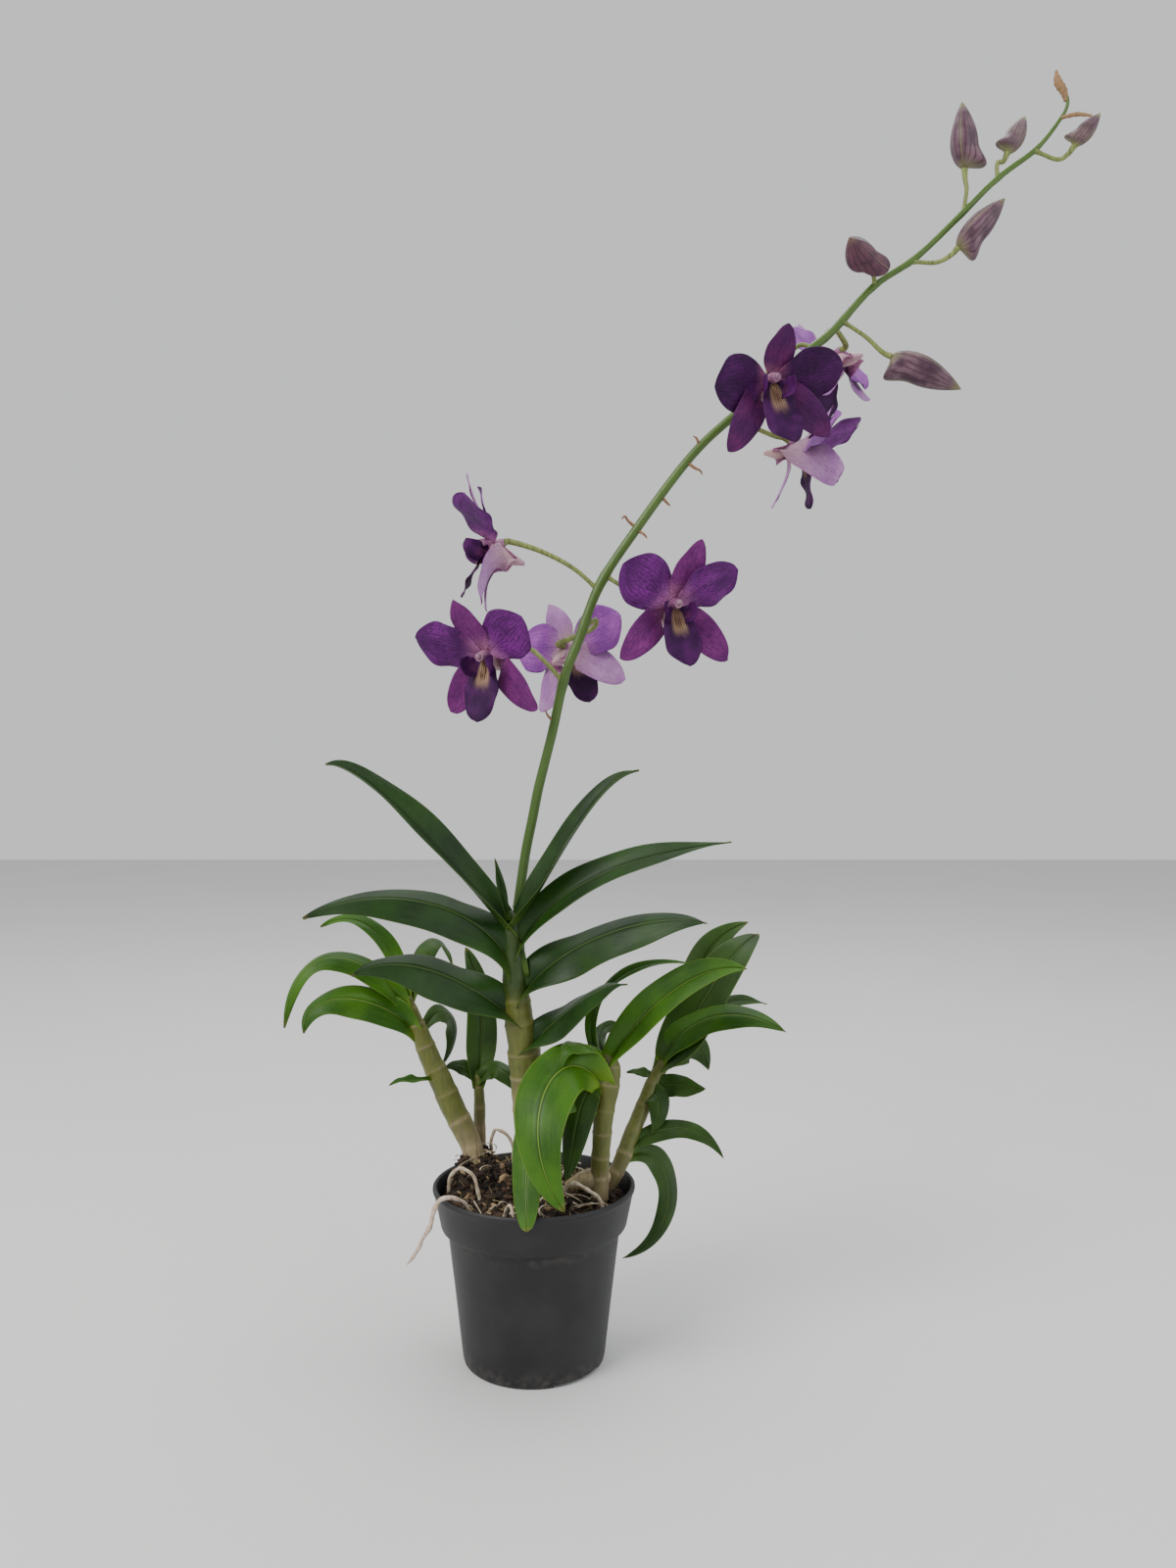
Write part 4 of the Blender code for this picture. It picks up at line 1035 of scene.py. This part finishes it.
# %% One flower
CAP_STEPS = 6
HEART = (
    ("spur", rounded([(0, -1, 2), (0, -8, -6), (0, -12.5, -13.5)], 8),
     rounded_numbers([3.6, 3.4, 1.0], 8), SPUR, 18),
    ("column", rounded([(0, 0, -5), (0, 0, 0), (0, 1, 4), (0, 2, 9)], 6),
     rounded_numbers([2.3, 2.9, 2.8, 2.2], 6), COLUMN, 18),
    ("cap", [Vector((0, 2 + 0.25 * step, 8.4 + 0.4 * step)) for step in range(CAP_STEPS + 1)],
     [1.7 * math.sqrt(1 - (step / CAP_STEPS) ** 2) for step in range(CAP_STEPS + 1)], CAP, 16),
)


def lip_ridges(name, placed, lip_line):
    ridges = []
    for shift in (-1.1, 0.0, 1.1):
        line = [through(lip_line, 0.08 + 0.38 * step / 9)[0] for step in range(10)]
        line = [placed @ (p + Vector((shift, 0.7, 0.7))) for p in line]
        widths = [0.48 * math.sin(math.pi * (0.08 + 0.88 * step / 9)) for step in range(10)]
        ridges.append((line, widths, [0.0] * 10))
    return stems(name + "_ridges", ridges, CALLUS, 8)


def flower(name, centre, heading, tilt, spread):
    placed = bloom_frame(centre, heading, tilt)
    turn = placed.to_3x3()
    # bloom_5 takes the darker petal and sepal fronts: painted shade
    dark = name == "bloom_5"
    looks = {"petal": SHADED_PETAL if dark else PETAL, "lip": (LIP, LIP)}
    looks["sepal"] = looks["dorsal"] = SHADED_SEPAL if dark else SEPAL
    parts = []
    for number, (piece, (angle, length, lift)) in enumerate(zip(PIECES, spread)):
        kind = piece.split("_")[0]
        way, line = midrib(kind, angle, length, lift)
        roll = math.radians(ROLLS.get((name, piece), 0))
        face = turn @ (UP * math.cos(roll) + way.cross(UP) * math.sin(roll))
        parts.append(sheet(f"{name}_{piece}", [placed @ p for p in line], face=face, rows=44,
                           across=24, thick=0.75, finishes=looks[kind], crease=0.03,
                           phase=number * 1.3, **SHAPES[kind]))
    for hand in (-1, 1):
        lobe = [(hand * 1.5, -3, 3), (hand * 5, -4, 7), (hand * 7.5, -1, 11), (hand * 7, 4, 14)]
        parts.append(sheet(f"{name}_lobe_{hand}", [placed @ Vector(p) for p in lobe], 5.2,
                           turn @ Vector((-hand, 0.2, 0.3)), (20, 10), (SIDE_LOBE, SIDE_LOBE),
                           0.7, rows=20, across=12, peak=0.6, blunt=0.6, base=0.5, crease=0.05))
    # The lip is the last piece, so the last line is its midrib
    parts.append(lip_ridges(name, placed, line))
    for label, path, widths, look, sides in HEART:
        grown_path = ([placed @ p for p in path], widths, [0.0] * len(path))
        parts.append(stems(f"{name}_{label}", [grown_path], look, sides))
    one_piece("open_" + name, parts, "petal_purple", name)


for name, (centre, heading, tilt, spread) in BLOOMS.items():
    flower(name, centre, heading, tilt, spread)

# %% [markdown]
# ## The buds
#
# A bud is a ball drawn out to a point, with three soft ribs where its sepals meet and a chin at
# the base on the side where the spur will be. The table gives base, tip, greatest radius and
# the side of the chin.

# %% Buds
BUDS = {
    "bud_1": ((185, -2, 519), (221, -4, 501), 8.0, (-1, 0, -1)),
    "bud_2": ((172, -9, 562), (158, -27, 569), 8.0, (1, 0, -0.5)),
    "bud_3": ((219, -4, 574), (243, -6, 599), 7.0, (1, 0, -1)),
    "bud_4": ((224, 0, 617), (222, -2, 651), 7.4, (1, 0, 0)),
    "bud_5": ((246, 0, 625), (257, 4, 647), 5.4, (-1, -0.5, 0)),
    "bud_6": ((281, 0, 629), (293, -4, 644), 4.8, (-1, 0, 0)),
}
BUD_LOOKS = {"bud_2": BROWN_BUD, "bud_5": YOUNG_BUD, "bud_6": YOUNG_BUD}


def closed_bud(name, base, tip, radius, chin_side, around=56, rings=48):
    base, tip = Vector(base), Vector(tip)
    length = (tip - base).length
    ahead = (tip - base).normalized()
    other = ahead.cross(Vector(chin_side)).normalized()
    side = other.cross(ahead)
    places, marks = [base * MM], [(0.0, 0.5)]
    for ring in range(1, rings):
        s = ring / rings
        for step in range(around):
            turn = 2 * math.pi * step / around
            wide = radius * math.sin(math.pi * s**0.8) ** 0.72 * (1 - s) ** 0.12
            wide = max(wide, 1.9) if s < 0.12 else wide
            wide *= 1 + 0.07 * math.cos(3 * turn) - 0.05 * abs(math.sin(1.5 * turn)) ** 6
            chin = 0.72 * radius * max(0.0, math.cos(turn)) ** 2
            chin *= math.exp(-((s - 0.17) / 0.10) ** 2) * min(1.0, s / 0.06)
            reach = wide + chin
            places.append((base + ahead * (length * s - 0.85 * chin)
                           + side * (reach * math.cos(turn))
                           + other * (reach * math.sin(turn))) * MM)
            marks.append((s, step / around))
    places.append(tip * MM)
    marks.append((1.0, 0.5))
    faces = []
    for step in range(around):
        after = (step + 1) % around
        faces.append((0, 1 + after, 1 + step))
        for ring in range(rings - 2):
            a = 1 + ring * around
            faces.append((a + step, a + after, a + around + after, a + around + step))
        last = 1 + (rings - 2) * around
        faces.append((last + step, last + after, len(places) - 1))
    mesh = bpy.data.meshes.new(name)
    mesh.from_pydata(places, [], faces)
    layer = mesh.uv_layers.new(name="run")
    for polygon in mesh.polygons:
        turns = [marks[v][1] for v in polygon.vertices]
        for loop, turn in zip(polygon.loop_indices, turns):
            wrapped = 1.0 if turn == 0.0 and max(turns) > 0.8 else turn
            layer.data[loop].uv = (marks[mesh.loops[loop].vertex_index][0], wrapped)
    work = bmesh.new()
    work.from_mesh(mesh)
    if work.calc_volume(signed=True) < 0:
        bmesh.ops.reverse_faces(work, faces=work.faces)
    work.to_mesh(mesh)
    work.free()
    mesh.shade_smooth()
    one_piece("closed_" + name, [new_object(name, mesh, BUD_LOOKS.get(name, BUD))],
              "bud_mauve", name)


for name, (base, tip, radius, chin_side) in BUDS.items():
    closed_bud(name, base, tip, radius, chin_side)

# %% [markdown]
# ## The flower stem
#
# The stalk rises from the top of the main cane and arches to the right. Each flower and bud
# hangs on a stalklet, which is yellower than the stalk and swells where it joins the flower.
# Where early flowers fell, small dry hooks are left, and the stalk's own tip has withered.

# %% Flower stem
STALK = [
    (-9, 4.5, 231.3), (-6, 5.5, 253), (-4, 5, 265), (-1, 3, 279), (2, 1, 294), (6, 0, 310),
    (10, -1, 326), (16, -2, 353), (23, -2, 371), (34, -2, 400), (53, -2, 429), (79, -2, 464),
    (99, -2, 484), (130, -2, 508), (142, -3, 521), (155, -2, 532), (176, -2, 555),
    (198, -2, 570), (222, -1, 593), (241, 0, 612), (261, -1, 627), (273, -3, 642),
    (276, -4, 649), (275, -4, 654),
]
STALK_RADIUS = [
    2.7, 2.6, 2.6, 2.6, 2.6, 2.5, 2.5, 2.5, 2.5, 2.4, 2.4, 2.3, 2.2, 2.1, 2.0, 2.0, 1.8,
    1.7, 1.6, 1.5, 1.3, 1.0, 0.9, 0.9,
]
STALKLETS = {
    "bloom_1": [(33, -2, 398), (20, -3, 409), (4, -5, 417)],
    "bloom_2": [(15, -2, 350), (6, -3, 360), (-4, 0, 368)],
    "bloom_3": [(26, -2, 378), (32, 3, 383), (30, 10, 379)],
    "bloom_4": [(37, -2, 405), (48, -3, 398), (58, -4, 392)],
    "bloom_5": [(145, -3, 523), (138, -1, 525), (130, -3, 518)],
    "bloom_6": [(150, -2, 528), (155, 8, 536), (161, 18, 540)],
    "bloom_7": [(103, -2, 487), (116, 6, 484), (127, 13, 482)],
    "bud_1": [(160, -2, 537), (172, -2, 529)],
    "bud_2": [(176, -2, 555), (176, -4, 557)],
    "bud_3": [(196, -2, 568), (208, -3, 567)],
    "bud_4": [(223, -1, 594), (225, 0, 606)],
    "bud_5": [(241, 0, 612), (241, 0, 620)],
    "bud_6": [(260, -1, 626), (272, 0, 622)],
}
HOOKS = [
    [(53, -2, 430), (49, -3, 433), (47, -4, 435.5), (45.5, -4, 434)],
    [(53, -2, 429), (57, -4, 426), (58.5, -4, 424)],
    [(79, -2, 464), (83, -4, 460.5), (86, -4, 459), (87, -4, 457)],
    [(86, -2, 470), (84.5, -4, 475), (82.5, -4, 477)],
    [(66, -2, 446), (69, -3, 442.5), (70.5, -3, 441)],
    [(11, -1, 329), (7.5, -3, 332), (6, -3, 335)],
]


def fades(points, start, change, power=1.0):
    """A number for each point that runs from start to start + change."""
    last = len(points) - 1
    return [start + change * (i / last) ** power for i in range(last + 1)]


def stalklet(name, path):
    if name in BLOOMS:
        placed = bloom_frame(*BLOOMS[name][:3])
        ends = [placed @ Vector((0, 0, -8.5)), placed @ Vector((0, 0, -4.6))]
        thin, thick = 1.15, 2.0
    else:
        base, tip = Vector(BUDS[name][0]), Vector(BUDS[name][1])
        ahead = (tip - base).normalized()
        ends = [base - ahead * 5, base + ahead * 0.3]
        thin, thick = 1.05, 1.7
    points = rounded([*path, *ends], 7)
    widths = fades(points, thin, thick - thin, 2.2)
    widths[0] = widths[0] * 1.5
    widths[1] = widths[1] * 1.25
    return points, widths, fades(points, 0.62, 0.25)


stalk_points = rounded(STALK, 6)
stalk_widths = rounded_numbers(STALK_RADIUS, 6)
for start in STALKLETS.values():
    for number, point in enumerate(stalk_points):
        gap = (point - Vector(start[0])).length
        stalk_widths[number] *= 1 + 0.16 * math.exp(-((gap / 3) ** 2))
stalk_tones = [0.05 + 0.20 * number / len(stalk_points) for number in range(len(stalk_points))]
green_stems = [(stalk_points, stalk_widths, stalk_tones)]
green_stems += [stalklet(name, path) for name, path in STALKLETS.items()]
dry_stems = []
for path in HOOKS:
    points = rounded(path, 4)
    dry_stems.append((points, fades(points, 0.95, -0.6), [0.3] * len(points)))
for path, radii in (
    ([(273, -3, 642), (279, -8, 641), (285, -12, 638)], (0.9, 1.1, 0.6)),
    ([(275, -4, 650), (274, -4, 655), (271, -4, 660), (270, -4, 666)], (0.9, 1.9, 2.1, 0.5)),
):
    points = rounded(path, 6)
    widths = rounded_numbers(radii, 6)
    widths = [w * (1 + 0.12 * math.sin(i * 2.3)) for i, w in enumerate(widths)]
    dry_stems.append((points, widths, [0.5] * len(points)))
one_piece("arching_stem", [stems("stalk", green_stems, STALK_GREEN, 18),
                           stems("hooks", dry_stems, DRIED, 12)], "stalk_green", "flower_stem")

# %% [markdown]
# ## The roots
#
# Orchid roots are pale and wander over the bark. Five of them can be told apart; each is a stem
# along its path, bent a little by noise, with small swellings.

# %% Roots
ROOTS = {
    "root_over_rim": ([(-27, -20, 74), (-32, -25, 86), (-37, -29, 91.6), (-41, -32.5, 93),
                       (-45.5, -34, 91), (-50, -34, 80), (-55, -32, 69), (-62, -30, 59)],
                      [1.5, 1.7, 1.7, 1.7, 1.7, 1.6, 1.5, 0.9]),
    "root_hook": ([(-14, -34, 72), (-13, -37, 85), (-11, -41, 91.5), (-9, -44.5, 92),
                   (-8, -46, 87.5)], [1.4, 1.5, 1.5, 1.4, 0.8]),
    "root_back_arc": ([(-22, 24, 72), (-24, 22, 95), (-23, 20, 110), (-18, 19, 111),
                       (-14, 19, 106), (-12, 19, 98), (-13, 19, 74)],
                      [1.3, 1.4, 1.4, 1.4, 1.4, 1.4, 1.3]),
    "root_right": ([(12, -14, 74), (15, -17, 90), (20, -21, 96), (28, -24, 94), (35, -25, 87),
                    (35, -24, 73)], [1.5, 1.6, 1.6, 1.6, 1.5, 1.4]),
    "root_left_loop": ([(-43, -1, 74), (-44, -4, 92), (-39, -8, 99), (-32, -11, 98),
                        (-28, -12, 90), (-27, -12, 73)], [1.4, 1.5, 1.5, 1.5, 1.4, 1.4]),
}
for name, (path, radii) in ROOTS.items():
    points = [p + noise.noise_vector(p * 0.14) * 0.9 for p in rounded(path, STEPS)]
    widths = rounded_numbers(radii, STEPS)
    widths = [w * (0.66 + 0.34 * noise.noise(p * 0.26)) for w, p in zip(widths, points)]
    if name in ("root_over_rim", "root_hook"):
        widths[-3:] = [widths[-3] * 0.9, widths[-3] * 0.65, 0.15]
    tones = [0.5 + noise.noise(p * 0.15) for p in points]
    look = PINK_ROOT if name == "root_over_rim" else ROOT
    one_piece("pale_" + name, [stems(name, [(points, widths, tones)], look, 16)], "root_pale",
              name)

# %% [markdown]
# ## The pot
#
# The pot is turned: its wall has the same section all the way round. A Screw modifier spins the
# section, and small cutters take out the drain holes and the notches in the foot. The lip and
# the step are round in the section itself.

# %% Pot
WALL = [
    (0, 0), (19, 0), (19.6, 0.3), (20.2, 1.3), (20.8, 1.6), (30.2, 1.6), (30.9, 1.3), (31.3, 0.3),
    (31.8, 0), (34.6, 0), (35.6, 0.25), (36.2, 0.8), (36.55, 1.8), (36.9, 3.4), (40.6, 35),
    (44.3, 65.2), (44.45, 66.6), (44.8, 67.6), (45.4, 68.1), (47.1, 68.9), (47.8, 69.4),
    (48.2, 70.3), (50.0, 79), (51.5, 86), (51.8, 86.8), (52.3, 87.6), (52.5, 88.3), (52.4, 89.2),
    (51.9, 89.85), (51.2, 90), (50.6, 89.8), (50.1, 89.2), (48.4, 80), (46.9, 71.6),
    (46.4, 70.7), (43.8, 69.3), (43.2, 68.6), (43.0, 67.5), (39.2, 36), (35.4, 5.4), (34.9, 4.2),
    (33.8, 3.5), (16, 3.5), (0, 3.5),
]
POT_STEPS = 160
DRAIN_RING = 25.5  # from the pot's axis to the middle of each drain hole
DRAIN_RADIUS = 0.0035
FOOT_RADIUS = 0.034
NOTCH = (0.0075, 0.030, 0.0032)
NOTCH_TURNS = (-48, 132)


def turned_wall():
    mesh = bpy.data.meshes.new("wall")
    rail = [(radius * MM, 0, height * MM) for radius, height in WALL[::-1]]
    mesh.from_pydata(rail, [(i, i + 1) for i in range(len(rail) - 1)], [])
    source = new_object("wall", mesh)
    spin = source.modifiers.new("turned", "SCREW")
    spin.steps = spin.render_steps = POT_STEPS
    spin.use_merge_vertices = True
    spin.merge_threshold = 0.00005
    return worked_in(source, "nursery_pot")


def cutter(make, **sizes):
    work = bmesh.new()
    make(work, **sizes)
    mesh = bpy.data.meshes.new("cutter")
    work.to_mesh(mesh)
    work.free()
    made = new_object("cutter", mesh)
    made.hide_render = True
    return made


pot = turned_wall()
cutters = []
for step in range(4):
    turn = math.radians(45 + 90 * step)
    middle = Vector((DRAIN_RING * math.cos(turn), DRAIN_RING * math.sin(turn), 2.5)) * MM
    cutters.append(cutter(bmesh.ops.create_cone, cap_ends=True, segments=40,
                          radius1=DRAIN_RADIUS, radius2=DRAIN_RADIUS, depth=0.006,
                          matrix=Matrix.Translation(middle)))
for degrees in NOTCH_TURNS:
    turn = Matrix.Rotation(math.radians(degrees), 4, "Z")
    cutters.append(cutter(bmesh.ops.create_cube, size=1.0,
                          matrix=turn @ Matrix.Translation((FOOT_RADIUS, 0, 0))
                          @ Matrix.Diagonal((*NOTCH, 1))))
for piece in cutters:
    hole = pot.modifiers.new("hole", "BOOLEAN")
    hole.object = piece
    hole.operation = "DIFFERENCE"
pot = worked_in(pot, "nursery_pot")
for piece in cutters:
    bpy.data.objects.remove(piece)
pot.data.materials.clear()
pot.data.materials.append(POT_PLASTIC)
pot.data.polygons.foreach_set("material_index", [0] * len(pot.data.polygons))
pot.data.shade_smooth()
pot.data.set_sharp_from_angle(angle=math.radians(40))
one_piece("nursery_pot", [pot], "pot_plastic", "pot")

# %% [markdown]
# ## The bark mix
#
# The mix fills the pot, is heaped on the left and banked up toward the back and the left. A
# ground of dark peat has this form, and a Geometry Nodes tree scatters bark over it. The chips
# are icospheres of twenty faces, squashed and turned at random, because a shape that is repeated
# a thousand times has to be cheap. Each chip is given its `tint` before the instances are made
# real.

# %% Ground of the mix
MIX_TOP = 82.0
MIX_RADIUS = 48.2
WALL_FROM = 47.5  # beyond this radius the ground is level
ROUND_FROM = 45.0  # beyond this one its edge turns down
BELOW = ((46.0, 71.3), (42.6, 66.0))  # radius and height of the rings under the edge


def lumpy(x, y):
    edge = min(1.0, max(0.0, (WALL_FROM - math.hypot(x, y)) / 5))
    bank = 4.5 * min(1.0, max(0.0, (y - 0.5 * x) / 30 + 0.2))
    heap = 15 * math.exp(-((x + 30) ** 2 + (y - 12) ** 2) / 260)
    rough = 4.5 * noise.noise(Vector((x, y, 0)) * 0.13)
    rough += 2.5 * noise.noise(Vector((x, y, 9)) * 0.3)
    fine = 0.9 * noise.noise(Vector((x, y, 3)) * 0.8)
    return edge * (heap + bank + rough + fine)


def ground_mesh(rings=44, around=120):
    places = [(0, 0, MIX_TOP + lumpy(0, 0))]
    for ring in range(1, rings + 1):
        radius = MIX_RADIUS * ring / rings
        for step in range(around):
            turn = 2 * math.pi * step / around
            x, y = radius * math.cos(turn), radius * math.sin(turn)
            fall = 0.9 * max(0.0, (radius - ROUND_FROM) / 3.2)
            places.append((x, y, MIX_TOP + lumpy(x, y) - fall))
    for radius, height in BELOW:
        for step in range(around):
            turn = 2 * math.pi * step / around
            places.append((radius * math.cos(turn), radius * math.sin(turn), height))
    places.append((0, 0, BELOW[-1][1]))
    faces = []
    for step in range(around):
        after = (step + 1) % around
        faces.append((0, 1 + step, 1 + after))
        for ring in range(rings + 1):
            a = 1 + ring * around
            faces.append((a + step, a + around + step, a + around + after, a + after))
        a = 1 + (rings + 1) * around
        faces.append((len(places) - 1, a + after, a + step))
    mesh = bpy.data.meshes.new("ground")
    mesh.from_pydata([Vector(p) * MM for p in places], [], faces)
    mesh.attributes.new("tint", "FLOAT", "POINT").data.foreach_set(
        "value", [0.35 + 0.4 * noise.noise(Vector(p) * 0.25) for p in places])
    mesh.shade_smooth()
    return mesh


# %% [markdown]
# Both scatter trees share their inputs and the way they place, turn and stretch what they
# scatter. One strews lumps of bark, the other short bent threads.


# %% The scatter trees
def above(tree, lowest):
    """Only faces that look up and lie within reach, so that nothing pokes through the wall."""
    normal = tree.node("GeometryNodeInputNormal")
    up = tree.node("ShaderNodeSeparateXYZ", None, (normal,), 2)
    flat = tree.node("ShaderNodeVectorMath", {"operation": "MULTIPLY"},
                     (tree.node("GeometryNodeInputPosition"), (1.0, 1.0, 0.0)))
    out = tree.node("ShaderNodeVectorMath", {"operation": "LENGTH"}, (flat,), 1)
    inside = tree.node("ShaderNodeMath", {"operation": "LESS_THAN"}, (out, tree.given("Reach")))
    return tree.node("FunctionNodeCompare", {"operation": "GREATER_THAN"},
                     {0: up * inside, 1: lowest})


def scattered(tree, shape, seed):
    points = tree.node("GeometryNodeDistributePointsOnFaces", None, {
        "Mesh": tree.given("Geometry"), "Selection": above(tree, 0.25),
        "Density": tree.given("Density"), "Seed": seed,
    })
    spin = tree.node("FunctionNodeRandomValue", {"data_type": "FLOAT_VECTOR"},
                     {0: (-0.7, -0.7, -3.1), 1: (0.7, 0.7, 3.1), 8: seed + 1})
    stretch = tree.node("FunctionNodeRandomValue", {"data_type": "FLOAT_VECTOR"},
                        {0: (0.7, 0.45, 0.25), 1: (1.8, 1.1, 0.7), 8: seed + 2})
    size = tree.chance(tree.given("Smallest"), tree.given("Largest"), seed + 3)
    scale = tree.node("ShaderNodeVectorMath", {"operation": "SCALE"}, {0: stretch, 3: size})
    made = tree.node("GeometryNodeInstanceOnPoints", None, {
        "Points": points, "Instance": shape, "Rotation": spin, "Scale": scale,
    })
    return tree.node("GeometryNodeStoreNamedAttribute",
                     {"data_type": "FLOAT", "domain": "INSTANCE"},
                     {"Geometry": made, "Name": "tint", "Value": tree.chance(0, 1, seed + 4)})


SIZES = dict(Density=("Float", 1.0), Smallest=("Float", 0.001), Largest=("Float", 0.003),
             Reach=("Float", 0.045), Finish=("Material", None))


def chip_tree():
    chips = Growth("bark chips", **SIZES)
    lump = chips.node("GeometryNodeMeshIcoSphere", None, {"Radius": 1.0, "Subdivisions": 1})
    made = scattered(chips, lump, 3)
    plain = chips.node("GeometryNodeRealizeInstances", None, (made,))
    return chips.ends_with(plain, chips.given("Finish"))


def thread_tree():
    threads = Growth("root threads", **SIZES)
    arc = threads.node("GeometryNodeCurveArc", None,
                       {"Resolution": 9, "Radius": 1.0, "Start Angle": 0.0, "Sweep Angle": 3.6})
    ring = threads.node("GeometryNodeCurvePrimitiveCircle", None,
                        {"Resolution": 5, "Radius": 0.075})
    loop = threads.node("GeometryNodeCurveToMesh", None,
                        {"Curve": arc, "Profile Curve": ring, "Fill Caps": True})
    upright = threads.node("GeometryNodeTransform", None,
                           {"Geometry": loop, "Rotation": (1.3, 0.0, 0.0)})
    return threads.ends_with(scattered(threads, upright, 21), threads.given("Finish"))


CHIPS, THREADS = chip_tree(), thread_tree()
ground = ground_mesh()


def strewn(name, tree, density, smallest, largest, reach, finish):
    return grown(new_object(name, ground.copy()), tree, name, Density=density,
                 Smallest=smallest * MM, Largest=largest * MM, Reach=reach * MM, Finish=finish)


# %% [markdown]
# The ground is used six times: once for itself and once under each layer, from large chunks
# down to crumbs, then moss threads and old roots. Each layer has its own density and sizes.

# %% Filling the pot
mix_parts = [
    new_object("peat", ground.copy(), PEAT),
    strewn("chunks", CHIPS, 9000.0, 2.6, 4.4, 40.5, BARK),
    strewn("chips", CHIPS, 90000.0, 1.2, 2.8, 43.5, BARK),
    strewn("crumbs", CHIPS, 380000.0, 0.4, 1.1, 46.5, BARK),
    strewn("threads", THREADS, 26000.0, 1.6, 4.6, 42.0, MOSS),
    strewn("old_roots", THREADS, 9000.0, 3.5, 7.5, 38.0, ROOT),
]
one_piece("bark_mix_heap", mix_parts, "bark_mix", "potting_mix")

# %% [markdown]
# ## Floor and light
#
# A pale floor and soft light from large lamps, as in a bright room: one high on the left, a
# weaker one on the right, and a pale world that fills the shadows.

# %% Floor, lamps and world
floor_look = Finish("pale floor", Specular_IOR_Level=0.2)
shade = floor_look.noise(3.0, 3.0)
floor_look.done(floor_look.mix(shade, (0.60, 0.60, 0.60), (0.66, 0.66, 0.655)), 0.75 + shade * 0.1)
floor_mesh = bpy.data.meshes.new("floor")
floor_mesh.from_pydata([(-4, -4, 0), (4, -4, 0), (4, 4, 0), (-4, 4, 0)], [], [(0, 1, 2, 3)])
floor = new_object("floor", floor_mesh, floor_look.material)
floor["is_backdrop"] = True


def lamp(name, place, aim, size, power, colour):
    made = bpy.data.objects.new(name, bpy.data.lights.new(name, "AREA"))
    made.data.size = size
    made.data.energy = power
    made.data.color = colour
    made.location = place
    made.rotation_euler = (Vector(aim) - Vector(place)).to_track_quat("-Z", "Y").to_euler()
    bpy.context.scene.collection.objects.link(made)


lamp("window", (-1.3, -1.2, 1.7), (0, 0, 0.3), 1.1, 48, (1.0, 0.98, 0.95))
lamp("fill", (1.6, -0.9, 0.9), (0, 0, 0.3), 1.6, 14, (0.93, 0.96, 1.0))
lamp("top", (0.2, 0.5, 1.9), (0.05, 0, 0.3), 1.2, 18, (1.0, 1.0, 1.0))
world = bpy.data.worlds.new("room")
world.use_nodes = True
world.node_tree.nodes["Background"].inputs["Color"].default_value = (0.76, 0.765, 0.77, 1.0)
world.node_tree.nodes["Background"].inputs["Strength"].default_value = 1.0
bpy.context.scene.world = world

# %% [markdown]
# ## Measuring up
#
# The dressed plant has to stay as large as its solids, so both boxes are printed.

# %% Finish
dressed_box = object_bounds()
for label, (low, high) in (("solids", solid_box), ("dressed", dressed_box)):
    print(label, [round((b - a) / MM, 1) for a, b in zip(low, high)], "mm")
